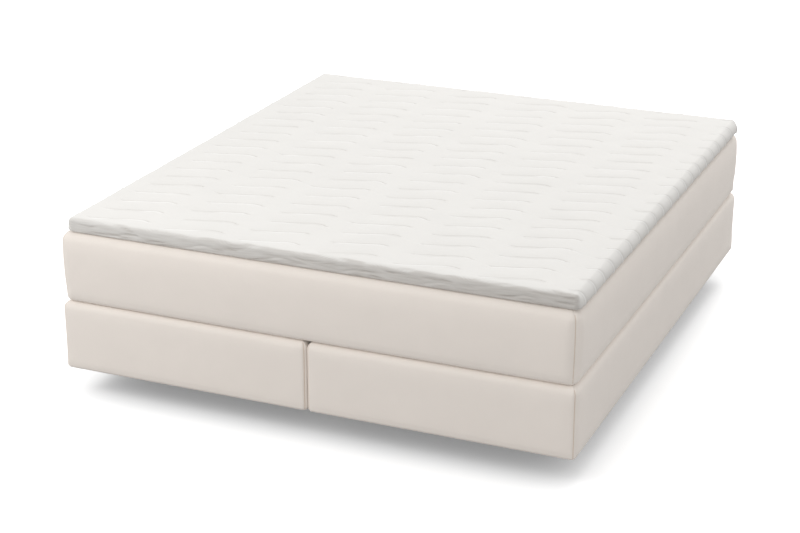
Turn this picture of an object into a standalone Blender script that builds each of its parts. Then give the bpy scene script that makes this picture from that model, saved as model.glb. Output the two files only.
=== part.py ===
# Box spring bed: two upholstered base boxes on legs, a one-piece mattress and a quilted topper.
# Lengths are in metres. X runs across the bed, Y from the foot end (-Y) to the head end (+Y),
# and Z up from the floor. The origin is on the floor, under the middle of the bed.

import math

import bmesh
import bpy
from mathutils import Matrix, Vector

# Driving dimensions
BED_WIDTH = 1.800
BED_LENGTH = 2.000
LEG_HEIGHT = 0.100
BOX_HEIGHT = 0.242
MATTRESS_HEIGHT = 0.242
TOPPER_HEIGHT = 0.052

# Outline of each layer, against the nominal bed
BASE_INSET = 0.005
MATTRESS_SIDE_INSET = 0.002
MATTRESS_END_INSET = 0.001
TOPPER_SIDE_INSET = 0.019
TOPPER_END_INSET = 0.024
TOPPER_RIGHT_SHIFT = 0.0125
TOPPER_FOOT_SHIFT = 0.007

# Clearances
TOUCH_GAP = 0.0003
BOX_GAP = 0.0006
STUD_CLEARANCE = 0.0003
SPIGOT_CLEARANCE = 0.0003
LEG_HOLE_CLEARANCE = 0.0020
CUT_OVERRUN = 0.0100
MERGE_REACH = 0.0001

# Base upholstery
COVER_CLOTH = 0.0030
COVER_FLANGE = 0.0360
BOX_CORNER_RADIUS = 0.0170
BOX_TOP_RADIUS = 0.0250
BOX_BOTTOM_RADIUS = 0.0120
FRAME_WRAP = 0.0120
EDGE_FOAM_WIDTH = 0.0450
TOP_PAD = 0.0330
DUST_COVER = 0.0010
DUST_COVER_INSET = 0.0220
BOX_SEGMENTS = 4

# Timber frame of a box
RAIL_THICKNESS = 0.0220
RAIL_HEIGHT = 0.0800
BEARER_THICKNESS = 0.0220
BEARER_WIDTH = 0.1200
SLAT_THICKNESS = 0.0150
SLAT_WIDTH = 0.0900
SLAT_COUNT = 4
TIMBER_CHAMFER = 0.0020

# Springs
BOX_POCKET = 0.1000
MATTRESS_POCKET = 0.0850
POCKET_NOTCH_SHARE = 0.12
POCKET_SHOULDER_SHARES = (0.25, 0.75)

# Legs and glides
LEG_FROM_END = 0.2500
LEG_FROM_SIDE = 0.1300
LEG_TOP_RADIUS = 0.0290
LEG_FOOT_RADIUS = 0.0240
LEG_EDGE = 0.0015
STUD_RADIUS = 0.0040
STUD_LENGTH = 0.0180
GLIDE_RADIUS = 0.0210
GLIDE_THICKNESS = 0.0050
GLIDE_EDGE = 0.0010
SPIGOT_RADIUS = 0.0060
SPIGOT_LENGTH = 0.0120
ROUND_SIDES = 16

# Coupling plates between the boxes
PLATE_THICKNESS = 0.0030
PLATE_WIDTH = 0.0600
PLATE_FROM_END = 0.1200
PLATE_CORNER = 0.0080
PLATE_CORNER_SEGMENTS = 2
PLATE_END_MARGIN = 0.0120
SCREW_HOLE_RADIUS = 0.0025
SCREW_HOLE_SIDES = 10

# Mattress
MATTRESS_CORNER_RADIUS = 0.0360
MATTRESS_TOP_RADIUS = 0.0300
MATTRESS_FOOT_RADIUS = 0.0160
MATTRESS_LOW_DRAW = 0.0075
MATTRESS_HIGH_DRAW = 0.0050
MATTRESS_PLAN_BOW = 0.0030
WIDEST_LEVEL_SHARE = 0.62
SIDE_LEVEL_SHARES = (0.20, 0.34, 0.48, 0.62, 0.76)
MATTRESS_WALL = 0.0340
MATTRESS_TOP_WALL = 0.0160
MATTRESS_EDGE_FOAM = 0.0550
MATTRESS_BASE_PANEL = 0.0060
LOWER_LAYER = 0.0250
COMFORT_LAYER = 0.0450
CORNER_SEGMENTS = 4
ARC_STEPS = 3
SIDE_POINT_SHARES = (-0.5, 0.0, 0.5)

# Topper: the quilting is a set of sewn wave lines across the bed, one behind the other.
# A line rises slowly and falls fast, and WAVE_RISE_AT is the middle of one of its rises.
QUILT_ROW = 0.0945
QUILT_WAVE = 0.2700
WAVE_HEIGHT = 0.0200
WAVE_LEAN_SHARE = 0.2
WAVE_RISE_AT = 0.1050
ROW_AT = 0.0145
QUILT_DEPTH = 0.0050
QUILT_WALL = 0.0105
TOPPER_WALL = 0.0200
TOPPER_DRAW = 0.0100
TOPPER_EDGE = 0.0130
TOPPER_EDGE_DROP = 0.0025
TOPPER_EDGE_PUFF = 0.0020
TOPPER_CORNER_RADIUS = 0.0250
TOPPER_FOOT_CORNER = 0.0100
TOPPER_FOOT_SEGMENTS = 2
TOPPER_WIDEST_SHARE = 0.5
COLUMN_MARGIN = 0.0550
ROW_MARGIN = 0.0090
LOWER_PANEL = 0.0030

# Sizes worked out from those above
BASE_WIDTH = BED_WIDTH - 2 * BASE_INSET
BASE_LENGTH = BED_LENGTH - 2 * BASE_INSET
BOX_WIDTH = (BASE_WIDTH - BOX_GAP) / 2
BASE_TOP = LEG_HEIGHT + BOX_HEIGHT
COVER_FOOT = LEG_HEIGHT + DUST_COVER + TOUCH_GAP
TIMBER_FOOT = COVER_FOOT + COVER_CLOTH + TOUCH_GAP
SLAT_FOOT = TIMBER_FOOT + RAIL_HEIGHT + TOUCH_GAP
SPRING_FOOT = SLAT_FOOT + SLAT_THICKNESS + TOUCH_GAP
PAD_TOP = BASE_TOP - COVER_CLOTH - TOUCH_GAP
PAD_FOOT = PAD_TOP - TOP_PAD
SPRING_TOP = PAD_FOOT - TOUCH_GAP
LINING = COVER_CLOTH + TOUCH_GAP
FRAME_INSET = LINING + FRAME_WRAP + TOUCH_GAP
SPRING_INSET = LINING + EDGE_FOAM_WIDTH + TOUCH_GAP

MATTRESS_FOOT = BASE_TOP + TOUCH_GAP
MATTRESS_TOP = MATTRESS_FOOT + MATTRESS_HEIGHT
MATTRESS_HALF = Vector((BED_WIDTH / 2 - MATTRESS_SIDE_INSET, BED_LENGTH / 2 - MATTRESS_END_INSET))

TOPPER_FOOT = MATTRESS_TOP + TOUCH_GAP
TOPPER_TOP = TOPPER_FOOT + TOPPER_HEIGHT
TOPPER_HALF = Vector((BED_WIDTH / 2 - TOPPER_SIDE_INSET, BED_LENGTH / 2 - TOPPER_END_INSET))
TOPPER_MIDDLE = Vector((TOPPER_RIGHT_SHIFT, -TOPPER_FOOT_SHIFT))


# Scene, collections and materials

def clear_scene():
    for obj in list(bpy.data.objects):
        bpy.data.objects.remove(obj, do_unlink=True)


def new_collection(name):
    collection = bpy.data.collections.new(name)
    bpy.context.scene.collection.children.link(collection)
    return collection


def new_material(name, colour, roughness, metallic=0.0):
    material = bpy.data.materials.new(name)
    material.use_nodes = True
    shader = material.node_tree.nodes["Principled BSDF"]
    shader.inputs["Base Color"].default_value = (*colour, 1.0)
    shader.inputs["Roughness"].default_value = roughness
    shader.inputs["Metallic"].default_value = metallic
    return material


clear_scene()
PARTS = new_collection("Box spring bed")
CUTTERS = new_collection("Cutters")

BASE_FABRIC = new_material("Base cover fabric", (0.70, 0.64, 0.57), 0.90)
MATTRESS_FABRIC = new_material("Mattress cover fabric", (0.70, 0.64, 0.57), 0.90)
TOPPER_FABRIC = new_material("Quilted topper fabric", (0.82, 0.81, 0.78), 0.85)
LINING_FABRIC = new_material("Lining fabric", (0.75, 0.73, 0.69), 0.90)
DUST_CLOTH = new_material("Dust cover cloth", (0.03, 0.03, 0.03), 0.95)
FOAM = new_material("Foam", (0.84, 0.80, 0.62), 0.90)
POCKET_CLOTH = new_material("Pocket spring cloth", (0.80, 0.80, 0.80), 0.90)
FRAME_TIMBER = new_material("Frame timber", (0.62, 0.44, 0.26), 0.65)
SLAT_TIMBER = new_material("Slat timber", (0.68, 0.52, 0.33), 0.65)
LEG_PLASTIC = new_material("Leg plastic", (0.02, 0.02, 0.02), 0.45)
GLIDE_PLASTIC = new_material("Glide plastic", (0.05, 0.05, 0.05), 0.60)
PLATE_STEEL = new_material("Zinc-plated steel", (0.62, 0.62, 0.62), 0.40, metallic=1.0)


# Making and placing objects

def add_object(name, data, material, place=(0, 0, 0)):
    obj = bpy.data.objects.new(name, data)
    obj.location = place
    data.materials.append(material)
    PARTS.objects.link(obj)
    return obj


def make_cutter(obj):
    """Turns a solid into a hidden cutter."""
    PARTS.objects.unlink(obj)
    CUTTERS.objects.link(obj)
    obj.hide_render = True
    obj.display_type = "WIRE"
    return obj


def cut(obj, cutter):
    modifier = obj.modifiers.new("Cut by " + cutter.name, "BOOLEAN")
    modifier.operation = "DIFFERENCE"
    modifier.solver = "EXACT"
    modifier.object = cutter


def carry(pieces, marker):
    """Parents pieces to a marker without moving them."""
    for piece in pieces:
        piece.parent = marker
        piece.matrix_parent_inverse = Matrix.Translation(marker.location).inverted()


def add_marker(name, height):
    """An empty at the foot of a layer that lifts off."""
    marker = bpy.data.objects.new(name, None)
    marker.location = (0, 0, height)
    PARTS.objects.link(marker)
    return marker


def block(name, low, high, material):
    """A rectangular block between two corners, with its origin at its middle."""
    low = Vector(low)
    high = Vector(high)
    bm = bmesh.new()
    bmesh.ops.create_cube(bm, size=1)
    bmesh.ops.scale(bm, vec=high - low, verts=bm.verts)
    mesh = bpy.data.meshes.new(name)
    bm.to_mesh(mesh)
    bm.free()
    return add_object(name, mesh, material, (low + high) / 2)


def timber(name, low, high, material):
    """A planed board with its sharp edges taken off."""
    board = block(name, low, high, material)
    modifier = board.modifiers.new("Planed edges", "BEVEL")
    modifier.width = TIMBER_CHAMFER
    modifier.segments = 1
    modifier.limit_method = "NONE"
    return board


def round_edges(obj, upright, top, foot):
    """Rounds the upright, top and foot edges of a block, each with its own radius.

    Edges that don't run from corner to corner, such as those of an opening, stay sharp.
    """
    mesh = obj.data
    widest = max(upright, top, foot)
    corner_reach = max(vertex.co.xy.length for vertex in mesh.vertices) - TOUCH_GAP
    weights = mesh.attributes.new("bevel_weight_edge", "FLOAT", "EDGE")
    for edge in mesh.edges:
        start, end = (mesh.vertices[index].co for index in edge.vertices)
        if min(start.xy.length, end.xy.length) < corner_reach:
            continue
        radius = upright
        if abs(start.z - end.z) < TOUCH_GAP:
            radius = top if start.z > 0 else foot
        weights.data[edge.index].value = radius / widest
    modifier = obj.modifiers.new("Rounded edges", "BEVEL")
    modifier.limit_method = "WEIGHT"
    modifier.width = widest
    modifier.segments = BOX_SEGMENTS
    modifier.use_clamp_overlap = False


def flat_piece(name, outlines, thickness, place, material):
    """Closed outlines extruded to a thickness. Every outline after the first is a hole."""
    curve = bpy.data.curves.new(name, "CURVE")
    curve.dimensions = "2D"
    curve.fill_mode = "BOTH"
    curve.extrude = thickness / 2
    for outline in outlines:
        spline = curve.splines.new("POLY")
        spline.points.add(len(outline) - 1)
        for point, (x, y) in zip(spline.points, outline):
            point.co = (x, y, 0, 1)
        spline.use_cyclic_u = True
    x, y, foot = place
    return add_object(name, curve, material, (x, y, foot + thickness / 2))


def turned_piece(name, profile, place, material):
    """Turns a profile of (radius, height) points, from its top down, about the Z axis."""
    bm = bmesh.new()
    vertices = [bm.verts.new((radius, 0, height)) for radius, height in profile]
    for upper, lower in zip(vertices, vertices[1:]):
        bm.edges.new((upper, lower))
    mesh = bpy.data.meshes.new(name)
    bm.to_mesh(mesh)
    bm.free()
    obj = add_object(name, mesh, material, place)
    modifier = obj.modifiers.new("Turned", "SCREW")
    modifier.axis = "Z"
    modifier.steps = ROUND_SIDES
    modifier.render_steps = ROUND_SIDES
    modifier.use_merge_vertices = True
    modifier.merge_threshold = MERGE_REACH
    modifier.use_smooth_shade = True
    return obj


def loft(name, sections, material):
    """A closed solid through sections of equal point counts, listed from its foot up."""
    bm = bmesh.new()
    rings = [[bm.verts.new((x, y, height)) for x, y in outline] for outline, height in sections]
    for lower, upper in zip(rings, rings[1:]):
        for index, vertex in enumerate(lower):
            following = (index + 1) % len(lower)
            bm.faces.new((vertex, lower[following], upper[following], upper[index]))
    bm.faces.new(list(reversed(rings[0])))
    bm.faces.new(rings[-1])
    mesh = bpy.data.meshes.new(name)
    bm.to_mesh(mesh)
    bm.free()
    return add_object(name, mesh, material)


# Outlines

def circle(centre_x, centre_y, radius, sides):
    turns = [2 * math.pi * step / sides for step in range(sides)]
    return [(centre_x + radius * math.cos(turn), centre_y + radius * math.sin(turn)) for turn in turns]


def rectangle(half_width, half_length):
    corners = ((-1, -1), (1, -1), (1, 1), (-1, 1))
    return [(x * half_width, y * half_length) for x, y in corners]


def rounded_rectangle(half_width, half_length, radius, segments, bow=0, side_shares=()):
    """Points round a rectangle, anticlockwise. Its sides bow out between the corners."""
    corner_x = half_width - bow
    corner_y = half_length - bow
    points = []
    for quarter, (side_x, side_y) in enumerate(((1, -1), (1, 1), (-1, 1), (-1, -1))):
        for step in range(segments + 1):
            angle = (quarter - 1 + step / segments) * math.pi / 2
            x = side_x * (corner_x - radius) + radius * math.cos(angle)
            y = side_y * (corner_y - radius) + radius * math.sin(angle)
            points.append((x, y))
        for share in side_shares:
            out = bow * (1 - share * share)
            along_x = corner_x - radius
            along_y = corner_y - radius
            if quarter == 0:
                points.append((corner_x + out, share * along_y))
            elif quarter == 1:
                points.append((-share * along_x, corner_y + out))
            elif quarter == 2:
                points.append((-corner_x - out, -share * along_y))
            else:
                points.append((share * along_x, -corner_y - out))
    return points


def pocket_outline(half_width, half_length, pitch):
    """The outline of a block of spring pockets, with a notch between neighbours."""
    corners = rectangle(half_width, half_length)
    points = []
    for start, end in zip(corners, corners[1:] + corners[:1]):
        start = Vector(start)
        run = Vector(end) - start
        count = max(2, round(run.length / pitch))
        inward = Vector((-run.y, run.x)).normalized() * run.length / count * POCKET_NOTCH_SHARE
        for pocket in range(count):
            for share in POCKET_SHOULDER_SHARES:
                points.append(tuple(start + run * (pocket + share) / count))
            if pocket < count - 1:
                points.append(tuple(start + run * (pocket + 1) / count + inward))
    return points


# Base boxes: each function takes the side's name and the place of the box's middle in X

def box_cover(side, middle):
    """The fabric shell: open underneath, where a flange is folded under the frame."""
    low = (middle - BOX_WIDTH / 2, -BASE_LENGTH / 2, COVER_FOOT)
    high = (middle + BOX_WIDTH / 2, BASE_LENGTH / 2, BASE_TOP)
    cover = block(side + "_cover", low, high, BASE_FABRIC)
    bm = bmesh.new()
    bm.from_mesh(cover.data)
    bm.faces.ensure_lookup_table()
    underside = min(bm.faces, key=lambda face: face.calc_center_median().z)
    bmesh.ops.inset_region(bm, faces=[underside], thickness=COVER_FLANGE)
    bmesh.ops.delete(bm, geom=[underside], context="FACES")
    bm.to_mesh(cover.data)
    bm.free()
    round_edges(cover, BOX_CORNER_RADIUS, BOX_TOP_RADIUS, BOX_BOTTOM_RADIUS)
    modifier = cover.modifiers.new("Cloth", "SOLIDIFY")
    modifier.thickness = COVER_CLOTH
    modifier.offset = -1
    modifier.use_even_offset = True
    return cover


def box_dust_cover(side, middle):
    outline = rectangle(BOX_WIDTH / 2 - DUST_COVER_INSET, BASE_LENGTH / 2 - DUST_COVER_INSET)
    hole_radius = LEG_TOP_RADIUS + LEG_HOLE_CLEARANCE
    holes = [circle(x - middle, y, hole_radius, ROUND_SIDES) for _, x, y in leg_places(middle)]
    place = (middle, 0, LEG_HEIGHT)
    return flat_piece(side + "_dust_cover", [outline, *holes], DUST_COVER, place, DUST_CLOTH)


def box_frame(side, middle):
    """Two side rails with the end rails and the leg bearers between them."""
    outward = -1 if side == "left" else 1
    half_width = BOX_WIDTH / 2 - FRAME_INSET
    half_length = BASE_LENGTH / 2 - FRAME_INSET
    top = TIMBER_FOOT + RAIL_HEIGHT
    for name, direction in (("outer", outward), ("inner", -outward)):
        edges = (middle + direction * half_width, middle + direction * (half_width - RAIL_THICKNESS))
        low = (min(edges), -half_length, TIMBER_FOOT)
        high = (max(edges), half_length, top)
        timber(f"{side}_side_rail_{name}", low, high, FRAME_TIMBER)

    reach = half_width - RAIL_THICKNESS - TOUCH_GAP
    bearer_at = BASE_LENGTH / 2 - LEG_FROM_END
    for name, direction in (("foot", -1), ("head", 1)):
        edges = (direction * half_length, direction * (half_length - RAIL_THICKNESS))
        low = (middle - reach, min(edges), TIMBER_FOOT)
        high = (middle + reach, max(edges), top)
        timber(f"{side}_{name}_rail", low, high, FRAME_TIMBER)

        low = (middle - reach, direction * bearer_at - BEARER_WIDTH / 2, TIMBER_FOOT)
        high = (middle + reach, direction * bearer_at + BEARER_WIDTH / 2, TIMBER_FOOT + BEARER_THICKNESS)
        bearer = timber(f"{side}_leg_bearer_{name}", low, high, FRAME_TIMBER)
        for leg, x, y in leg_places(middle):
            if y * direction > 0:
                cut(bearer, stud_hole(f"{side}_stud_hole_{leg}", x, y))


def stud_hole(name, x, y):
    """A cutter for the hole that a leg's stud goes into."""
    radius = STUD_RADIUS + STUD_CLEARANCE
    foot = TIMBER_FOOT - CUT_OVERRUN
    top = TIMBER_FOOT + BEARER_THICKNESS + CUT_OVERRUN
    profile = [(0, top), (radius, top), (radius, foot), (0, foot)]
    return make_cutter(turned_piece(name, profile, (x, y, 0), FRAME_TIMBER))


def box_slats(side, middle):
    """Boards across the rails, evenly spaced along the frame."""
    half_width = BOX_WIDTH / 2 - FRAME_INSET
    length = BASE_LENGTH - 2 * FRAME_INSET
    for slat in range(SLAT_COUNT):
        y = -length / 2 + length * (slat + 0.5) / SLAT_COUNT
        low = (middle - half_width, y - SLAT_WIDTH / 2, SLAT_FOOT)
        high = (middle + half_width, y + SLAT_WIDTH / 2, SLAT_FOOT + SLAT_THICKNESS)
        timber(f"{side}_slat_{slat + 1}", low, high, SLAT_TIMBER)


def box_spring_unit(side, middle):
    outline = pocket_outline(BOX_WIDTH / 2 - SPRING_INSET, BASE_LENGTH / 2 - SPRING_INSET, BOX_POCKET)
    height = SPRING_TOP - SPRING_FOOT
    return flat_piece(side + "_spring_unit", [outline], height, (middle, 0, SPRING_FOOT), POCKET_CLOTH)


def box_edge_foam(side, middle):
    """Padding round the frame, thicker above it, where it stands round the springs."""
    half_width = BOX_WIDTH / 2 - LINING
    half_length = BASE_LENGTH / 2 - LINING
    low = (middle - half_width, -half_length, TIMBER_FOOT)
    high = (middle + half_width, half_length, SPRING_TOP)
    foam = block(side + "_edge_foam", low, high, FOAM)
    round_edges(foam, BOX_CORNER_RADIUS - LINING, 0, BOX_BOTTOM_RADIUS - LINING)
    hollows = (
        ("frame", FRAME_INSET - TOUCH_GAP, TIMBER_FOOT - CUT_OVERRUN, SPRING_FOOT),
        ("springs", SPRING_INSET - TOUCH_GAP, SPRING_FOOT - TOUCH_GAP, SPRING_TOP + CUT_OVERRUN),
    )
    for name, inset, foot, top in hollows:
        low = (middle - BOX_WIDTH / 2 + inset, -BASE_LENGTH / 2 + inset, foot)
        high = (middle + BOX_WIDTH / 2 - inset, BASE_LENGTH / 2 - inset, top)
        cut(foam, make_cutter(block(f"{side}_hollow_for_{name}", low, high, FOAM)))
    return foam


def box_top_pad(side, middle):
    half_width = BOX_WIDTH / 2 - LINING
    half_length = BASE_LENGTH / 2 - LINING
    low = (middle - half_width, -half_length, PAD_FOOT)
    high = (middle + half_width, half_length, PAD_TOP)
    pad = block(side + "_top_pad", low, high, FOAM)
    round_edges(pad, BOX_CORNER_RADIUS - LINING, BOX_TOP_RADIUS - LINING, 0)
    return pad


def leg_places(middle):
    """The name and place of each leg under a box."""
    across = BOX_WIDTH / 2 - LEG_FROM_SIDE
    along = BASE_LENGTH / 2 - LEG_FROM_END
    outward = -1 if middle < 0 else 1
    places = []
    for end, end_side in (("foot", -1), ("head", 1)):
        for name, direction in (("outer", outward), ("inner", -outward)):
            places.append((f"{end}_{name}", middle + direction * across, end_side * along))
    return places


def leg(side, place_name, x, y):
    """A tapered leg with its stud on top and a bore for its glide underneath."""
    foot = GLIDE_THICKNESS + TOUCH_GAP
    top = TIMBER_FOOT - TOUCH_GAP
    bore = SPIGOT_RADIUS + SPIGOT_CLEARANCE
    bore_top = foot + SPIGOT_LENGTH
    profile = [
        (0, top + STUD_LENGTH),
        (STUD_RADIUS, top + STUD_LENGTH),
        (STUD_RADIUS, top),
        (LEG_TOP_RADIUS - LEG_EDGE, top),
        (LEG_TOP_RADIUS, top - LEG_EDGE),
        (LEG_FOOT_RADIUS, foot + LEG_EDGE),
        (LEG_FOOT_RADIUS - LEG_EDGE, foot),
        (bore, foot),
        (bore, bore_top),
        (0, bore_top),
    ]
    return turned_piece(f"{side}_leg_{place_name}", profile, (x, y, 0), LEG_PLASTIC)


def glide(side, place_name, x, y):
    """A disc on the floor with a spigot pushed into the leg."""
    spigot_top = GLIDE_THICKNESS + SPIGOT_LENGTH
    profile = [
        (0, spigot_top),
        (SPIGOT_RADIUS, spigot_top),
        (SPIGOT_RADIUS, GLIDE_THICKNESS),
        (GLIDE_RADIUS, GLIDE_THICKNESS),
        (GLIDE_RADIUS, GLIDE_EDGE),
        (GLIDE_RADIUS - GLIDE_EDGE, 0),
        (0, 0),
    ]
    return turned_piece(f"{side}_glide_{place_name}", profile, (x, y, 0), GLIDE_PLASTIC)


def coupling_plate(name, y):
    """A flat bar screwed up into the inner side rails of both boxes."""
    rail_middle = BOX_GAP / 2 + FRAME_INSET + RAIL_THICKNESS / 2
    half_length = rail_middle + RAIL_THICKNESS / 2 + PLATE_END_MARGIN
    outline = rounded_rectangle(half_length, PLATE_WIDTH / 2, PLATE_CORNER, PLATE_CORNER_SEGMENTS)
    holes = [
        circle(side_x * rail_middle, side_y * PLATE_WIDTH / 4, SCREW_HOLE_RADIUS, SCREW_HOLE_SIDES)
        for side_x in (-1, 1)
        for side_y in (-1, 1)
    ]
    place = (0, y, LEG_HEIGHT - TOUCH_GAP - PLATE_THICKNESS)
    return flat_piece(name, [outline, *holes], PLATE_THICKNESS, place, PLATE_STEEL)


def base():
    for side, direction in (("left", -1), ("right", 1)):
        middle = direction * (BOX_GAP + BOX_WIDTH) / 2
        box_cover(side, middle)
        box_dust_cover(side, middle)
        box_frame(side, middle)
        box_slats(side, middle)
        box_spring_unit(side, middle)
        box_edge_foam(side, middle)
        box_top_pad(side, middle)
        for place_name, x, y in leg_places(middle):
            leg(side, place_name, x, y)
            glide(side, place_name, x, y)
    coupling_plate("coupling_plate_foot", -BASE_LENGTH / 2 + PLATE_FROM_END)
    coupling_plate("coupling_plate_head", BASE_LENGTH / 2 - PLATE_FROM_END)


# Mattress

def mattress_inset(height):
    """How far the side lies inside its widest line: it is drawn in below and above it."""
    widest = WIDEST_LEVEL_SHARE * MATTRESS_HEIGHT
    if height < widest:
        return MATTRESS_LOW_DRAW * ((widest - height) / widest) ** 2
    return MATTRESS_HIGH_DRAW * ((height - widest) / (MATTRESS_HEIGHT - widest)) ** 2


def mattress_levels():
    """Heights above the mattress's foot, each with its inset: a foot arc, the side, a top arc."""
    levels = []
    for step in range(ARC_STEPS + 1):
        angle = step / ARC_STEPS * math.pi / 2
        height = MATTRESS_FOOT_RADIUS * (1 - math.cos(angle))
        levels.append((height, mattress_inset(height) + MATTRESS_FOOT_RADIUS * (1 - math.sin(angle))))
    for share in SIDE_LEVEL_SHARES:
        height = share * MATTRESS_HEIGHT
        levels.append((height, mattress_inset(height)))
    for step in range(ARC_STEPS + 1):
        angle = step / ARC_STEPS * math.pi / 2
        height = MATTRESS_HEIGHT - MATTRESS_TOP_RADIUS * (1 - math.sin(angle))
        levels.append((height, mattress_inset(height) + MATTRESS_TOP_RADIUS * (1 - math.cos(angle))))
    return levels


def layer_outline(half, inset):
    """The outline of a piece inside a cover, with the cover's corner radius."""
    return rounded_rectangle(half.x - inset, half.y - inset, MATTRESS_CORNER_RADIUS, CORNER_SEGMENTS)


def mattress_cover():
    """Top panel and border in one shell, open underneath, with padding in its sides."""
    sections = []
    for height, inset in mattress_levels():
        outline = rounded_rectangle(
            MATTRESS_HALF.x - inset,
            MATTRESS_HALF.y - inset,
            MATTRESS_CORNER_RADIUS,
            CORNER_SEGMENTS,
            MATTRESS_PLAN_BOW,
            SIDE_POINT_SHARES,
        )
        sections.append((outline, MATTRESS_FOOT + height))
    cover = loft("mattress_cover", sections, MATTRESS_FABRIC)
    hollow = layer_outline(MATTRESS_HALF, MATTRESS_WALL)
    ends = (MATTRESS_FOOT - CUT_OVERRUN, MATTRESS_TOP - MATTRESS_TOP_WALL)
    cut(cover, make_cutter(loft("mattress_hollow", [(hollow, end) for end in ends], MATTRESS_FABRIC)))
    return cover


def mattress():
    inset = MATTRESS_WALL + TOUCH_GAP
    outline = layer_outline(MATTRESS_HALF, inset)
    lower_foot = MATTRESS_FOOT + MATTRESS_BASE_PANEL + TOUCH_GAP
    core_foot = lower_foot + LOWER_LAYER + TOUCH_GAP
    comfort_top = MATTRESS_TOP - MATTRESS_TOP_WALL - TOUCH_GAP
    comfort_foot = comfort_top - COMFORT_LAYER
    core_height = comfort_foot - TOUCH_GAP - core_foot
    core_inset = inset + MATTRESS_EDGE_FOAM
    core_half = MATTRESS_HALF - Vector((core_inset, core_inset))
    gap = Vector((TOUCH_GAP, TOUCH_GAP))
    hole = rectangle(*(core_half + gap))
    pockets = pocket_outline(core_half.x, core_half.y, MATTRESS_POCKET)
    base_place = (0, 0, MATTRESS_FOOT)
    lower_place = (0, 0, lower_foot)
    core_place = (0, 0, core_foot)
    comfort_place = (0, 0, comfort_foot)
    pieces = [
        mattress_cover(),
        flat_piece("mattress_base_panel", [outline], MATTRESS_BASE_PANEL, base_place, LINING_FABRIC),
        flat_piece("mattress_lower_layer", [outline], LOWER_LAYER, lower_place, FOAM),
        flat_piece("mattress_edge_foam", [outline, hole], core_height, core_place, FOAM),
        flat_piece("mattress_spring_core", [pockets], core_height, core_place, POCKET_CLOTH),
        flat_piece("mattress_comfort_layer", [outline], COMFORT_LAYER, comfort_place, FOAM),
    ]
    marker = add_marker("mattress_lift", MATTRESS_FOOT)
    carry(pieces, marker)
    return marker


# Topper

def quilt_lines(first, pitch, limit):
    """Places of evenly spaced lines, through the first one, up to a limit on both sides."""
    lowest = math.ceil((-limit - first) / pitch)
    highest = math.floor((limit - first) / pitch)
    return [(index, first + index * pitch) for index in range(lowest, highest + 1)]


def with_edges(lines, half):
    """Adds the lines of the top edge and of the widest side at both ends."""
    low = [(None, -half), (None, -half + TOPPER_EDGE)]
    high = [(None, half - TOPPER_EDGE), (None, half)]
    return low + lines + high


def quilt_wave(x):
    """How far a line lies towards the head end of its row's middle, at a place across the topper."""
    turn = 2 * math.pi * (x + TOPPER_MIDDLE.x - WAVE_RISE_AT) / QUILT_WAVE
    return WAVE_HEIGHT * (math.sin(turn) - WAVE_LEAN_SHARE * math.sin(2 * turn))


def quilt_height(row, x, y):
    """Height of the quilted surface: sewn down along a row's line, full between two rows."""
    top = TOPPER_TOP
    if row is not None and row % 2 == 0:
        top = TOPPER_TOP - QUILT_DEPTH
    edge = min(TOPPER_HALF.x - abs(x), TOPPER_HALF.y - abs(y))
    if edge < TOPPER_EDGE / 2:
        return TOPPER_FOOT + TOPPER_WIDEST_SHARE * TOPPER_HEIGHT
    if edge < TOPPER_EDGE + TOUCH_GAP:
        return top - TOPPER_EDGE_DROP
    return top


def topper_surface_points(columns, rows):
    """The grid of points of the quilted top. Its outer points lie on the widest line of the side."""
    grid = []
    for row, y in rows:
        line = []
        for column, x in columns:
            point = Vector((x, y, quilt_height(row, x, y)))
            on_side = abs(x) > TOPPER_HALF.x - TOPPER_EDGE / 2
            on_end = abs(y) > TOPPER_HALF.y - TOPPER_EDGE / 2
            if row is not None:
                point.y += quilt_wave(x)
            if on_side and on_end:
                pull = TOPPER_CORNER_RADIUS * (1 - math.cos(math.pi / 4))
                point.x -= math.copysign(pull, x)
                point.y -= math.copysign(pull, y)
            elif on_side and row is not None and row % 2 == 0:
                point.x -= math.copysign(TOPPER_EDGE_PUFF, x)
            elif on_end and column is not None and column % 2 == 0:
                point.y -= math.copysign(TOPPER_EDGE_PUFF, y)
            line.append(point)
        grid.append(line)
    return grid


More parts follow.
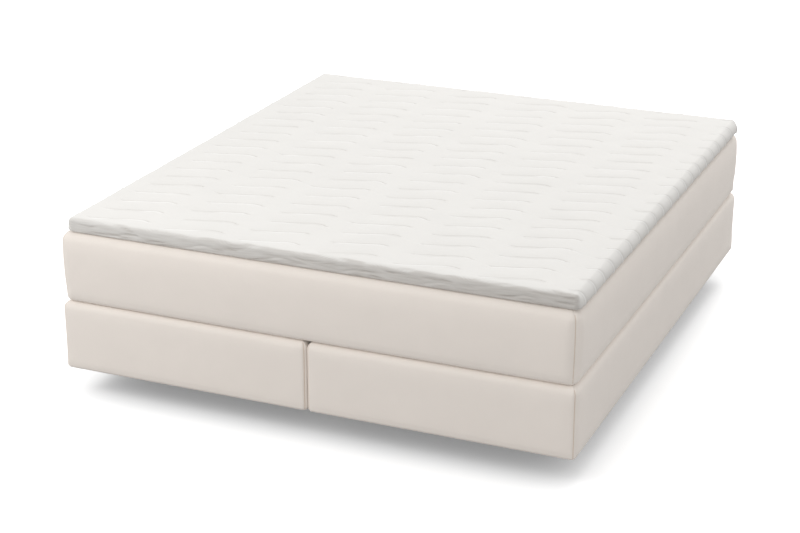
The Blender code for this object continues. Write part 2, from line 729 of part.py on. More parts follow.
def topper_cover():
    """The quilted top and its sides in one shell, open underneath."""
    quarter_wave = QUILT_WAVE / 4
    first_column = WAVE_RISE_AT - TOPPER_MIDDLE.x + quarter_wave / 2
    first_row = ROW_AT - TOPPER_MIDDLE.y
    columns = with_edges(
        quilt_lines(first_column, quarter_wave, TOPPER_HALF.x - TOPPER_EDGE - COLUMN_MARGIN),
        TOPPER_HALF.x,
    )
    rows = with_edges(
        quilt_lines(first_row, QUILT_ROW / 2, TOPPER_HALF.y - TOPPER_EDGE - WAVE_HEIGHT - ROW_MARGIN),
        TOPPER_HALF.y,
    )
    bm = bmesh.new()
    grid = [[bm.verts.new(point) for point in line] for line in topper_surface_points(columns, rows)]
    for near, far in zip(grid, grid[1:]):
        for index in range(len(near) - 1):
            bm.faces.new((near[index], near[index + 1], far[index + 1], far[index]))
    side_edges = [edge for edge in bm.edges if edge.is_boundary]

    foot = rounded_rectangle(
        TOPPER_HALF.x - TOPPER_DRAW,
        TOPPER_HALF.y - TOPPER_DRAW,
        TOPPER_FOOT_CORNER,
        TOPPER_FOOT_SEGMENTS,
    )
    foot_vertices = [bm.verts.new((x, y, TOPPER_FOOT)) for x, y in foot]
    foot_face = bm.faces.new(list(reversed(foot_vertices)))
    bmesh.ops.bridge_loops(bm, edges=side_edges + list(foot_face.edges))
    bmesh.ops.recalc_face_normals(bm, faces=bm.faces)
    mesh = bpy.data.meshes.new("topper_cover")
    bm.to_mesh(mesh)
    bm.free()
    cover = add_object("topper_cover", mesh, TOPPER_FABRIC, (*TOPPER_MIDDLE, 0))

    hollow = topper_layer(TOPPER_WALL)
    ends = (TOPPER_FOOT - CUT_OVERRUN, TOPPER_TOP - QUILT_WALL)
    cutter = make_cutter(loft("topper_hollow", [(hollow, end) for end in ends], TOPPER_FABRIC))
    cutter.location.xy = TOPPER_MIDDLE
    cut(cover, cutter)
    return cover


def topper_layer(inset):
    """The outline of a layer inside the cover, cut with square corners."""
    return rectangle(TOPPER_HALF.x - inset, TOPPER_HALF.y - inset)


def topper():
    outline = topper_layer(TOPPER_WALL + TOUCH_GAP)
    core_foot = TOPPER_FOOT + LOWER_PANEL + TOUCH_GAP
    core_height = TOPPER_TOP - QUILT_WALL - TOUCH_GAP - core_foot
    panel_place = (*TOPPER_MIDDLE, TOPPER_FOOT)
    core_place = (*TOPPER_MIDDLE, core_foot)
    pieces = [
        topper_cover(),
        flat_piece("topper_lower_panel", [outline], LOWER_PANEL, panel_place, LINING_FABRIC),
        flat_piece("topper_core", [outline], core_height, core_place, FOAM),
    ]
    marker = add_marker("topper_lift", TOPPER_FOOT)
    carry(pieces, marker)
    return marker


base()
mattress_marker = mattress()
topper_marker = topper()
carry([topper_marker], mattress_marker)
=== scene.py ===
# Box spring bed: the finish of every surface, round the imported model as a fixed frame.
# Lengths are in metres. X runs across the bed, Y from the foot end to the head end, and Z up.

import math

import bmesh
import bpy
import numpy as np
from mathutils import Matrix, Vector


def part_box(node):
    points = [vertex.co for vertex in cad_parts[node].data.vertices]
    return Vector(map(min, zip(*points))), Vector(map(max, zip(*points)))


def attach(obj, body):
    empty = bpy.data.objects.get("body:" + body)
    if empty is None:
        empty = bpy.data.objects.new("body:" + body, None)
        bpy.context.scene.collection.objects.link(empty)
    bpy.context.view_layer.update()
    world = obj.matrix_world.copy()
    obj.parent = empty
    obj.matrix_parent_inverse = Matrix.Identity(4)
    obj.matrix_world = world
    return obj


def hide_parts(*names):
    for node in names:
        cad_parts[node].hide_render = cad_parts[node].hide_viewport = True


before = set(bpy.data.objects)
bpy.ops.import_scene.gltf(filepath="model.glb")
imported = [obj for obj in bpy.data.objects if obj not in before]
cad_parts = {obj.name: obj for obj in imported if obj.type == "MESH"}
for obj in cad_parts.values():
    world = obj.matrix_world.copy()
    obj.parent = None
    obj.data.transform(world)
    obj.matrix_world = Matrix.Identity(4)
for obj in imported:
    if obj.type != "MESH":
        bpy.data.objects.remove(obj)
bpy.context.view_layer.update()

# Camera, set to the photograph's viewing angle
CAMERA_PLACE = (2.380, -5.835, 2.672)
CAMERA_BELOW_HORIZON = 21.06
CAMERA_TURN = 23.017
CAMERA_LENS = 84.0
SENSOR_WIDTH = 36.0

# Light: a soft sky and two soft lamps, each with its name, place, aim, size and power
SKY_COLOUR = (1.0, 1.0, 1.0, 1.0)
SKY_STRENGTH = 0.87
BACK_LAMP = ("back", (1.0, 6.2, 4.2), (0.0, 0.0, 0.4), 2.4, 160.0)
FILL_LAMP = ("fill", (-2.4, -3.2, 2.9), (-0.4, -0.8, 0.3), 1.8, 44.0)

# Floor: its tone for the light that it throws back, and its tone and glow for the camera
FLOOR_REACH = 40.0
FLOOR_BOUNCE = 0.50
FLOOR_SEEN = 1.12
FLOOR_GLOW = 0.205

# Colours, linear
COVER_COLOUR = (0.840, 0.775, 0.715)
SEAM_COLOUR = (0.700, 0.590, 0.500)
TOPPER_COLOUR = (0.773, 0.757, 0.729)
PAINTED_SHADE_TONE = (0.620, 0.590, 0.565, 1.0)
LINING_COLOUR = (0.760, 0.740, 0.700)
DUST_COLOUR = (0.030, 0.030, 0.032)
FOAM_COLOUR = (0.840, 0.790, 0.600)
POCKET_COLOUR = (0.780, 0.790, 0.800)
FRAME_COLOUR = (0.560, 0.380, 0.210)
SLAT_COLOUR = (0.640, 0.470, 0.280)
LEG_COLOUR = (0.018, 0.018, 0.019)
GLIDE_COLOUR = (0.045, 0.045, 0.047)
STEEL_COLOUR = (0.560, 0.565, 0.570)

# Cloth: the pitch of its threads and embossed points, and the share of a normal that counts as facing a way
THREAD = 0.0016
KNIT = 0.0022
EMBOSSED_PITCH = 0.0032
FACING_SHARE = 0.7

# Cover shells
CLOTH = 0.0030
INNER_RECTANGLE = 0.0500
SIDE_STEP = 0.022
PANEL_STEP = 0.035
FOOT_STEPS = 4
HELD_RINGS = 2
HELD_AT_JOINT = 0.020
CORNER_ANGLES = (0, 12, 24, 36, 44, 47.5, 50, 52.5, 56, 64, 77, 90)
SEAM_ANGLE = 50.0
SEAM_DEPTH = 0.0018
SEAM_WIDTH = 0.0030

# Unevenness: how many waves make it up, and how their paces vary
NOISE_WAVES = 14
NOISE_PACES = (0.75, 1.6)

# Least length that anything is divided by
TINY = 1e-9

# Base boxes
BOX_CORNER = 0.0170
BOX_TOP_EDGE = 0.0270
BOX_TOP_STEPS = 6
BOX_FOOT_EDGE = 0.0110
BOX_FLANGE = 0.0360
BOX_SEAM_SPREAD = 6.1

# Mattress
MATTRESS_CORNER = 0.0360
MATTRESS_TOP_EDGE = 0.0300
MATTRESS_TOP_STEPS = 7
MATTRESS_FOOT_EDGE = 0.0160
MATTRESS_LOW_DRAW = 0.0075
MATTRESS_HIGH_DRAW = 0.0050
MATTRESS_BOW = 0.0030
MATTRESS_WIDEST_SHARE = 0.62
MATTRESS_WALL = 0.0330
MATTRESS_CEILING = 0.0150
MATTRESS_SEAM_SPREAD = 2.6

# Topper: a stitch line rises slowly and falls fast, and WAVE_RISE_AT is the middle of one of its rises
QUILT_ROW = 0.0945
QUILT_WAVE = 0.2700
QUILT_LINES = 12
WAVE_HEIGHT = 0.0200
WAVE_LEAN_SHARE = 0.2
WAVE_RISE_AT = 0.1050
ROW_AT = 0.0145
TOPPER_SEED = 53

# Stitching: it draws the cloth in where a line rises, in uneven dashes, and hardly where it falls
QUILT_DEPTH = 0.0048
QUILT_ROUNDING = 0.0024
QUILT_PUFF = 0.0003
PUFF_REACH = 0.030
FALLING_DEPTH_SHARE = 0.03
CREASE_LAG = 0.40
FALL_START_SHARE = -0.30
FALL_END_SHARE = -0.70
DASH_UNEVEN = 0.22
DASH_PATCH = 0.1200
LIP_HEIGHT = 0.0024
LIP_AT = 0.0075
LIP_WIDTH = 0.0027
PUCKER = 0.0005
PUCKER_SIZE = 0.022
PUCKER_SCALE = 0.35
PUCKER_REACH = 0.012
SAG = 0.0006
SAG_SIZE = 0.16

# Stitching over the edges: shallower at the ends, and deeper and rounder at the sides
OVER_EDGE = 0.0200
END_DEPTH_SHARE = 0.55
SIDE_DEPTH_SHARE = 1.4
SIDE_ROUNDING_SHARE = 1.4
HEM_FADE = 0.006

# Painted highlight on the foot side of each stitch line, where its lip would catch the light, and painted
# shade in the crease on its head side
HIGHLIGHT_TONE = (0.900, 0.890, 0.870, 1.0)
HIGHLIGHT_AT = 0.0085
HIGHLIGHT_WIDTH = 0.0030
HIGHLIGHT_SHARE = 0.80
HIGHLIGHT_MEAN = 0.7
HIGHLIGHT_RUN = 0.16
CREASE_SHADE_AT = 0.0025
CREASE_SHADE_WIDTH = 0.0028
CREASE_SHADE_SHARE = 0.22

# Form of the topper. Each of its edges: how far it reaches out and down
TOPPER_CORNER = 0.0250
TOPPER_END_EDGE = (0.0130, 0.0130)
TOPPER_SIDE_EDGE = (0.0250, 0.0380)
TOPPER_EDGE_STEPS = 8
TOPPER_FOOT_EDGE = 0.0080
TOPPER_DRAW = 0.0050
TOPPER_DRAW_POWER = 1.5
TOPPER_HEM = 0.0190
TOPPER_CEILING = 0.0100
TOPPER_COLUMN_STEP = 0.0125
TOPPER_BORDER_STEP = 0.0026
STITCH_OFFSETS = (0.0, 0.0015, 0.003, 0.005, 0.0075, 0.010, 0.014, 0.020, 0.029, 0.040)
SLOPE_STEP = 0.001

# Creases along the end borders
WRINKLES = 110
WRINKLE_DEPTH = 0.0030
WRINKLE_WIDTH = 0.0028
WRINKLE_REACHES = (0.026, 0.070)
WRINKLE_HALF_LENGTHS = (0.015, 0.055)
WRINKLE_TILT = 0.05
WRINKLE_FAINTEST = 0.3

# Painted shade on the border: greyer on the end borders, darker towards the foot of the sides
SHADE_START = 0.0150
SHADE_SPAN = 0.0080
SHADE_WISP = 0.0060
WISP_SIZE = 0.016
WISP_SCALE = 0.20
SHADE_SHARE = 0.46
SHADE_SLOPE = 0.18
SHADE_STREAK = 0.18
STREAK_SIZE = 0.007
STREAK_SCALE = 0.10
SIDE_SHADE_SHARE = 0.42
SIDE_SHADE_SPAN = 0.0600
END_SHADE_FROM = 0.2
END_SHADE_SPAN = 0.6

# The coarser cloth that swells for the topper, and the places where its sewing holds it
SWELL_COLUMN_STEP = 0.0260
SWELL_BORDER_STEP = 0.0120
SWELL_OFFSETS = (0.0, 0.011, 0.025, 0.040)
SEWN_REACH = 0.001
SEWN_FIRMLY = 0.5

# Swelling of the covers on their padding
SWELL_FRAMES = 14
SWELL_PRESSURE = 4.0
SWELL_QUALITY = 3
BOX_SWELL = 0.0012
MATTRESS_SWELL = 0.0020
TOPPER_SWELL = 0.0009

# Blocks of foam, and flat panels
FOAM_EDGE = 0.0040
FOAM_CORNER = 0.0060
PANEL_EDGE = 0.0010
PANEL_CORNER = 0.0150
SLAB_MARGIN = 0.0300
SLAB_TOP_STEPS = 4
SLAB_FOOT_STEPS = 3
WALL_STEPS = 2
UNEVEN = 0.0006
UNEVEN_SIZE = 0.20
FIT_GAP = 0.0003

# Blocks of pocketed springs
BOX_POCKET = 0.1000
MATTRESS_POCKET = 0.0850
POCKET_SIDES = 12
POCKET_OVERLAP = 0.0002
POCKET_SHARES = (
    (0.30, 0.02), (0.62, 0.0), (0.85, 0.035), (0.97, 0.14), (1.0, 0.5),
    (0.97, 0.86), (0.85, 0.965), (0.62, 1.0), (0.30, 0.98),
)

# Dust covers and their staples
DUST_STEP = 0.030
DUST_HELD = 0.035
DUST_SPAN = 0.220
DUST_SAG = 0.0035
DUST_PATCH = 0.25
DUST_HOLE = 0.0310
HOLE_SIDES = 32
HOLE_DEPTH = 20 * DUST_SAG
STAPLE_PITCH = 0.055
STAPLE_INSET = 0.006
STAPLE_TILT = 0.10
STAPLE_SLIP = 0.004
STAPLE_WIRE = 0.0005
STAPLE_STATIONS = (
    (-0.0052, 0.0009), (-0.0050, 0.0003), (-0.0043, 0.0), (0.0043, 0.0), (0.0050, 0.0003), (0.0052, 0.0009),
)
STAPLE_SIDES = 6

# Plate screws
SCREW_OFFSET = 0.0150
SCREW_SIDES = 20
SCREW_PROFILE = ((0.0015, -0.0009), (0.0016, -0.0024), (0.0030, -0.0023), (0.0042, -0.0015), (0.0046, 0.0))


# Materials

class Nodes:
    """Short ways to add nodes to a tree. A value is a number, a colour or another node's output."""

    def __init__(self, tree):
        self.tree = tree

    def new(self, kind):
        return self.tree.nodes.new("ShaderNode" + kind)

    def fill(self, node, values):
        """Puts values on a node's inputs, and gives its outputs."""
        for place, value in values.items():
            if isinstance(value, bpy.types.NodeSocket):
                self.tree.links.new(value, node.inputs[place])
            else:
                node.inputs[place].default_value = value
        return node.outputs

    def add(self, kind, values):
        return self.fill(self.new(kind), values)

    def maths(self, operation, *values):
        node = self.new("Math")
        node.operation = operation
        return self.fill(node, dict(enumerate(values)))[0]

    def times(self, first, second):
        return self.maths("MULTIPLY", first, second)

    def choose(self, share, first, second):
        """The first number where share is 0, and the second where it is 1."""
        return self.add("Mix", {0: share, 2: first, 3: second})[0]

    def blend(self, share, first, second, blend_type="MIX"):
        """The same with colours."""
        node = self.new("Mix")
        node.data_type = "RGBA"
        node.blend_type = blend_type
        return self.fill(node, {0: share, 6: first, 7: second})[2]

    def shades(self, colour, share, first, second):
        """A colour times the first factor where share is 0, and times the second where it is 1."""
        return self.blend(share, lighter(colour, first), lighter(colour, second))

    def noise(self, vector, scale, detail, roughness):
        values = {"Vector": vector, "Scale": scale, "Detail": detail, "Roughness": roughness}
        return self.add("TexNoise", values)[0]

    def stretch(self, vector, scale):
        return self.add("Mapping", {"Vector": vector, "Scale": scale})[0]

    def place(self):
        return self.new("TexCoord").outputs["Object"]

    def plane(self):
        """Two coordinates that run along the surface, whichever way it faces."""
        place = self.new("TexCoord").outputs
        x, y, z = self.add("SeparateXYZ", {0: place["Object"]})
        facing_x, _, facing_z = self.add("SeparateXYZ", {0: place["Normal"]})
        sideways = self.maths("GREATER_THAN", self.maths("ABSOLUTE", facing_x), FACING_SHARE)
        upward = self.maths("GREATER_THAN", self.maths("ABSOLUTE", facing_z), FACING_SHARE)
        return self.choose(sideways, x, y), self.choose(upward, z, y)

    def ripple(self, coordinate, pitch):
        return self.maths("SINE", self.times(coordinate, 2 * math.pi / pitch))


class Look(Nodes):
    """A new material and its nodes."""

    def __init__(self, name):
        self.material = bpy.data.materials.new(name)
        self.material.use_nodes = True
        super().__init__(self.material.node_tree)

    def finish(self, values, height, strength, distance):
        """Puts values and a bump on the shader, and gives the material."""
        bump = self.add("Bump", {"Height": height, "Strength": strength, "Distance": distance})
        self.fill(self.tree.nodes["Principled BSDF"], {"Normal": bump[0], **values})
        return self.material


def lighter(colour, factor):
    return tuple(min(1.0, channel * factor) for channel in colour) + (1.0,)


def woven_cloth(name, colour, pitch, relief=0.35, sheen=0.25):
    """A plain weave of slightly uneven threads, with soft tonal changes along the cloth."""
    look = Look(name)
    along, across = look.plane()
    weave = look.times(look.ripple(along, 2 * pitch), look.ripple(across, 2 * pitch))
    weave = look.maths("MULTIPLY_ADD", weave, 0.5, 0.5)
    place = look.place()
    slub = look.noise(place, scale=260.0, detail=3.0, roughness=0.6)
    patches = look.noise(place, scale=7.0, detail=3.0, roughness=0.55)
    toned = look.shades(colour, patches, 0.965, 1.03)
    toned = look.blend(look.times(slub, 0.16), toned, lighter(colour, 0.86))
    toned = look.blend(look.times(weave, 0.10), toned, lighter(colour, 1.10))
    values = {"Base Color": toned, "Roughness": 0.88, "Specular IOR Level": 0.25}
    values.update({"Sheen Weight": sheen, "Sheen Roughness": 0.45})
    height = look.maths("ADD", weave, look.times(slub, 0.8))
    return look.finish(values, height, strength=relief, distance=0.0006)


def paint_light_where(material, attribute, painted_light, blend_type="MULTIPLY"):
    """Blends a colour into a material's colour where the piece's attribute is 1, for painted shade and
    painted highlight.
    """
    nodes = Nodes(material.node_tree)
    shader = nodes.tree.nodes["Principled BSDF"]
    toned = shader.inputs["Base Color"].links[0].from_socket
    share = nodes.new("Attribute")
    share.attribute_name = attribute
    nodes.fill(shader, {"Base Color": nodes.blend(share.outputs["Fac"], toned, painted_light, blend_type)})


def foam_material(name, colour):
    """Cut foam: open pores and a slightly uneven tone."""
    look = Look(name)
    place = look.place()
    cells = look.add("TexVoronoi", {"Vector": place, "Scale": 420.0})[0]
    patches = look.noise(place, scale=9.0, detail=3.0, roughness=0.6)
    toned = look.shades(colour, patches, 0.92, 1.05)
    toned = look.blend(look.times(cells, 0.35), toned, lighter(colour, 0.70))
    values = {"Base Color": toned, "Roughness": 0.95, "Specular IOR Level": 0.15}
    return look.finish(values, cells, strength=0.5, distance=0.0010)


def spunbond(name, colour, roughness):
    """Bonded non-woven cloth: embossed points over a felt of fibres."""
    look = Look(name)
    along, across = look.plane()
    points = look.times(look.ripple(along, EMBOSSED_PITCH), look.ripple(across, EMBOSSED_PITCH))
    felt = look.stretch(look.place(), (1.0, 0.35, 1.0))
    fibres = look.noise(felt, scale=380.0, detail=4.0, roughness=0.65)
    toned = look.shades(colour, fibres, 0.82, 1.22)
    values = {"Base Color": toned, "Roughness": roughness, "Specular IOR Level": 0.3}
    height = look.maths("ADD", look.times(points, 0.5), fibres)
    return look.finish(values, height, strength=0.4, distance=0.0005)


def timber(name, colour, grain_scale):
    """Planed softwood, with its grain along the direction that is stretched most."""
    look = Look(name)
    grain = look.stretch(look.place(), grain_scale)
    rings = look.noise(grain, scale=9.0, detail=4.0, roughness=0.55)
    bands = look.maths("SINE", look.times(rings, 46.0))
    fibres = look.noise(grain, scale=160.0, detail=3.0, roughness=0.6)
    toned = look.shades(colour, look.maths("MULTIPLY_ADD", bands, 0.28, 0.40), 1.16, 0.74)
    toned = look.blend(look.times(fibres, 0.30), toned, lighter(colour, 0.62))
    height = look.maths("ADD", fibres, look.times(bands, 0.2))
    return look.finish({"Base Color": toned, "Roughness": 0.62}, height, strength=0.3, distance=0.0006)


def moulded_plastic(name, colour, roughness):
    """Plastic with the fine grain of its mould, and faint marks."""
    look = Look(name)
    grain = look.noise(look.place(), scale=900.0, detail=2.0, roughness=0.5)
    marks = look.noise(look.place(), scale=40.0, detail=4.0, roughness=0.7)
    values = {"Base Color": look.shades(colour, marks, 0.8, 1.5), "Roughness": roughness}
    return look.finish(values, grain, strength=0.15, distance=0.0004)


def plated_steel(name, colour):
    """Zinc-plated steel: rolled streaks along X and a mottled plating."""
    look = Look(name)
    place = look.place()
    streaks = look.noise(look.stretch(place, (0.06, 1.0, 1.0)), scale=500.0, detail=3.0, roughness=0.6)
    spangle = look.noise(place, scale=55.0, detail=3.0, roughness=0.6)
    values = {"Base Color": look.shades(colour, spangle, 0.85, 1.15), "Metallic": 1.0}
    values["Roughness"] = look.maths("MULTIPLY_ADD", streaks, 0.25, 0.25)
    return look.finish(values, streaks, strength=0.2, distance=0.0003)


BASE_CLOTH = woven_cloth("Base cover cloth", COVER_COLOUR, THREAD)
MATTRESS_CLOTH = woven_cloth("Mattress cover cloth", COVER_COLOUR, THREAD)
SEAM_CLOTH = woven_cloth("Sewn corner seam", SEAM_COLOUR, THREAD)
TOPPER_CLOTH = woven_cloth("Quilted topper cloth", TOPPER_COLOUR, KNIT, relief=0.25, sheen=0.15)
# Painted shade on the topper's border and creases, and painted highlights beside its stitch lines, each from
# a point attribute
paint_light_where(TOPPER_CLOTH, "border", PAINTED_SHADE_TONE)
paint_light_where(TOPPER_CLOTH, "painted_highlight", HIGHLIGHT_TONE, "MIX")
LINING = woven_cloth("Lining cloth", LINING_COLOUR, THREAD)
DUST_CLOTH = spunbond("Dust cover cloth", DUST_COLOUR, 0.9)
FOAM = foam_material("Foam", FOAM_COLOUR)
POCKET_CLOTH = spunbond("Pocket cloth", POCKET_COLOUR, 0.85)
TIMBER_ALONG = timber("Frame timber along", FRAME_COLOUR, (1.0, 0.05, 1.0))
TIMBER_ACROSS = timber("Frame timber across", FRAME_COLOUR, (0.05, 1.0, 1.0))
SLAT_TIMBER = timber("Slat timber", SLAT_COLOUR, (0.05, 1.0, 1.0))
LEG_PLASTIC = moulded_plastic("Leg plastic", LEG_COLOUR, 0.42)
GLIDE_PLASTIC = moulded_plastic("Glide plastic", GLIDE_COLOUR, 0.60)
STEEL = plated_steel("Plated steel", STEEL_COLOUR)

# The rigid parts of the frame keep their shapes: each name's part, and its finish
NODE_FINISHES = (
    ("side_rail", TIMBER_ALONG),
    ("head_rail", TIMBER_ACROSS),
    ("foot_rail", TIMBER_ACROSS),
    ("leg_bearer", TIMBER_ACROSS),
    ("slat_", SLAT_TIMBER),
    ("_glide_", GLIDE_PLASTIC),
    ("_leg_foot", LEG_PLASTIC),
    ("_leg_head", LEG_PLASTIC),
    ("coupling_plate", STEEL),
)


def finish_rigid_parts():
    for name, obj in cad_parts.items():
        for part, material in NODE_FINISHES:
            if part in name:
                for slot in obj.material_slots:
                    slot.material = material


# Objects

def new_mesh(name, points, faces):
    mesh = bpy.data.meshes.new(name)
    mesh.from_pydata([tuple(point) for point in points], [], faces)
    return mesh


def new_object(name, data):
    obj = bpy.data.objects.new(name, data)
    bpy.context.scene.collection.objects.link(obj)
    return obj


def add_piece(name, points, faces, material, body):
    mesh = new_mesh(name, points, faces)
    mesh.materials.append(material)
    mesh.validate()
    obj = new_object(name, mesh)
    mesh.shade_smooth()
    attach(obj, body)
    return obj


def second_material(obj, material, faces):
    """Gives some of a piece's faces another material."""
    obj.data.materials.append(material)
    for face in faces:
        obj.data.polygons[face].material_index = 1


def coordinates(mesh):
    places = np.empty(len(mesh.vertices) * 3)
    mesh.vertices.foreach_get("co", places)
    return places.reshape(-1, 3)


def set_coordinates(mesh, places):
    mesh.vertices.foreach_set("co", places.ravel())
    mesh.update()


def spaced(low, high, step):
    """Evenly spaced places from low to high, about a step apart."""
    count = max(1, round((high - low) / step))
    return np.linspace(low, high, count + 1)


def smooth_step(share):
    share = np.clip(share, 0, 1)
    return share * share * (3 - 2 * share)


def bell(away, width):
    """1 at the middle, and next to nothing from two widths away."""
    return np.exp(-((away / width) ** 2))


def soft_noise(points, size, seed):
    """A smooth, repeatable unevenness between about -1 and 1, with bumps of about this size."""
    chance = np.random.default_rng(seed)
    total = np.zeros(len(points))
    for _ in range(NOISE_WAVES):
        direction = chance.normal(size=3)
        direction /= np.linalg.norm(direction)
        pace = 2 * math.pi / (size * chance.uniform(*NOISE_PACES))
        total += np.sin(points @ direction * pace + chance.uniform(0, 2 * math.pi))
    return total / math.sqrt(NOISE_WAVES)


def box_of(node):
    low, high = (np.array(corner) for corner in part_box(node))
    return low, high, (low + high) / 2, (high - low) / 2


def grid_faces(wide, deep):
    return [
        (start, start + 1, start + wide + 1, start + wide)
        for row in range(deep - 1)
        for start in range(row * wide, row * wide + wide - 1)
    ]


def grid_rim(wide, deep):
    """Numbers of the points at a grid's edge, anticlockwise."""
    rim = list(range(wide))
    rim += [row * wide + wide - 1 for row in range(1, deep)]
    rim += [(deep - 1) * wide + column for column in range(wide - 2, -1, -1)]
    return rim + [row * wide for row in range(deep - 2, 0, -1)]


def tube_faces(rings, sides):
    """Faces round a tube of rings of points, with a flat face at each end."""
    faces = [tuple(range(sides - 1, -1, -1))]
    for low in range(0, (rings - 1) * sides, sides):
        high = low + sides
        for side in range(sides):
            after = (side + 1) % sides
            faces.append((low + side, low + after, high + after, high + side))
    faces.append(tuple(range((rings - 1) * sides, rings * sides)))
    return faces


def swell(covers):
    """Lets the covers swell on their padding, all in one simulation.

    Each cover comes with the numbers of its held points and the furthest that a point may move."""
    scene = bpy.context.scene
    for obj, held, _ in covers:
        group = obj.vertex_groups.new(name="held")
        group.add([int(index) for index in held], 1.0, "REPLACE")
        cloth = obj.modifiers.new("Cloth", "CLOTH")
        cloth.settings.quality = SWELL_QUALITY
        cloth.settings.vertex_group_mass = group.name
        cloth.settings.use_pressure = True
        cloth.settings.uniform_pressure_force = SWELL_PRESSURE
        cloth.settings.effector_weights.gravity = 0.0
        cloth.collision_settings.use_collision = False
        cloth.point_cache.frame_end = SWELL_FRAMES
    for number in range(1, SWELL_FRAMES + 1):
        scene.frame_set(number)
    graph = bpy.context.evaluated_depsgraph_get()
    swollen = []
    for obj, _, most in covers:
        start = coordinates(obj.data)
        move = coordinates(obj.evaluated_get(graph).data) - start
        far = np.maximum(np.linalg.norm(move, axis=1), TINY)
        swollen.append(start + move * np.minimum(1, most / far)[:, None])
    for (obj, _, _), places in zip(covers, swollen):
        obj.modifiers.clear()
        obj.vertex_groups.clear()
        set_coordinates(obj.data, places)
    scene.frame_set(1)


# Shells and blocks: rings of points that run round a box

class Shell:
    """Points of a box-shaped form. The rings go round it, the first one beside a flat panel or by itself."""

    def __init__(self, node, margin, bow=0.0):
        low, high, middle, half = box_of(node)
        self.foot, self.top = low[2], high[2]
        self.middle, self.half = middle[:2], half[:2]
        self.bow = bow
        reach = self.half - margin
        self.columns = spaced(-reach[0], reach[0], PANEL_STEP)
        self.rows = spaced(-reach[1], reach[1], PANEL_STEP)
        self.points = []
        self.faces = []
        self.rings = []
        self.grid = []
        self.from_seam = self.seam_angles()

    def add(self, x, y, z):
        self.points.append((self.middle[0] + x, self.middle[1] + y, z))
        return len(self.points) - 1

    def panel(self, height):
        """The flat panel as a grid."""
        self.grid = [[self.add(x, y, height) for x in self.columns] for y in self.rows]
        for near, far in zip(self.grid, self.grid[1:]):
            for index in range(len(near) - 1):
                self.faces.append((near[index], near[index + 1], far[index + 1], far[index]))

    def arc(self, side_x, side_y, half, radius, angles):
        centre_x, centre_y = half - radius
        return [
            (side_x * (centre_x + radius * math.cos(turn)), side_y * (centre_y + radius * math.sin(turn)))
            for turn in (math.radians(angle) for angle in angles)
        ]

    def outline(self, inset, radius):
        """Points round the form, anticlockwise from the foot end's left."""
        half = self.half - inset - self.bow
        bow_x = [self.bow * (1 - (x / self.columns[-1]) ** 2) for x in self.columns]
        bow_y = [self.bow * (1 - (y / self.rows[-1]) ** 2) for y in self.rows]
        rising = CORNER_ANGLES
        falling = tuple(reversed(CORNER_ANGLES))
        points = [(x, -half[1] - out) for x, out in zip(self.columns, bow_x)]
        points += self.arc(1, -1, half, radius, falling)
        points += [(half[0] + out, y) for y, out in zip(self.rows, bow_y)]
        points += self.arc(1, 1, half, radius, rising)
        points += [(x, half[1] + out) for x, out in zip(self.columns[::-1], bow_x)]
        points += self.arc(-1, 1, half, radius, falling)
        points += [(-half[0] - out, y) for y, out in zip(self.rows[::-1], bow_y)]
        points += self.arc(-1, -1, half, radius, rising)
        return points

    def join(self, before, ring):
        for index in range(len(ring)):
            after = (index + 1) % len(ring)
            self.faces.append((ring[index], ring[after], before[after], before[index]))

    def ring(self, inset, radius, height):
        """Adds a ring and joins it to the one before, or to the panel."""
        ring = [self.add(x, y, height) for x, y in self.outline(inset, radius)]
        if self.rings:
            self.join(self.rings[-1], ring)
        elif self.grid:
            self.join_panel(ring)
        self.rings.append(ring)

    def follow(self, profile, corner, least):
        """Adds a ring for each inset and height, with corners that grow tighter inwards."""
        for inset, height in profile:
            self.ring(inset, max(corner - inset, least), height)

    def join_panel(self, ring):
        front = self.grid[0]
        right = [row[-1] for row in self.grid]
        back = self.grid[-1][::-1]
        left = [row[0] for row in self.grid][::-1]
        index = 0
        for side in (front, right, back, left):
            for start, end in zip(side, side[1:]):
                self.faces.append((ring[index], ring[index + 1], end, start))
                index += 1
            corner = side[-1]
            for _ in range(len(CORNER_ANGLES) + 1):
                self.faces.append((ring[index], ring[(index + 1) % len(ring)], corner))
                index += 1

    def close(self):
        """Closes the last ring with a flat face."""
        self.faces.append(tuple(self.rings[-1][::-1]))

    def close_round(self):
        """Joins the last ring to the first, for a form with a hole through it."""
        self.join(self.rings[-1], self.rings[0])

    def seam_angles(self):
        """For each ring point, how far it lies from the nearest upright corner seam, in degrees."""
        away = []
        for quarter, places in enumerate((self.columns, self.rows, self.columns, self.rows)):
            away += [90.0] * len(places)
            angles = CORNER_ANGLES if quarter % 2 else CORNER_ANGLES[::-1]
            away += [abs(angle - SEAM_ANGLE) for angle in angles]
        return np.array(away)

    def seam_faces(self, rings, spread):
        """Numbers of the faces along the corner seams, below each of these rings."""
        near = self.from_seam <= spread
        columns = [index for index in range(len(near) - 1) if near[index] and near[index + 1]]
        around = len(self.from_seam)
        first = len(self.faces) - 1 - (len(self.rings) - 1) * around
        return [first + ring * around + column for ring in rings for column in columns]

    def press_seams(self, places, rings, corner):
        """Draws the cloth in along the upright corner seams."""
        pull = SEAM_DEPTH * bell(np.radians(self.from_seam) * corner, SEAM_WIDTH)
        for ring in rings:
            indices = np.array(self.rings[ring])
            outward = places[indices, :2] - self.middle
            away = outward - np.sign(outward) * (self.half - corner)
            away /= np.maximum(np.linalg.norm(away, axis=1), TINY)[:, None]
            places[indices, :2] -= away * pull[:, None]
        return places


def quarter_arc(radius, steps, height, foot=False):
    """Insets and heights of a rounded edge: over the top edge, or under the foot edge."""
    places = []
    for step in range(steps + 1):
        turn = step / steps * math.pi / 2
        growing = radius * (1 - math.cos(turn))
        shrinking = radius * (1 - math.sin(turn))
        places.append((growing, height + shrinking) if foot else (shrinking, height - growing))
    return places


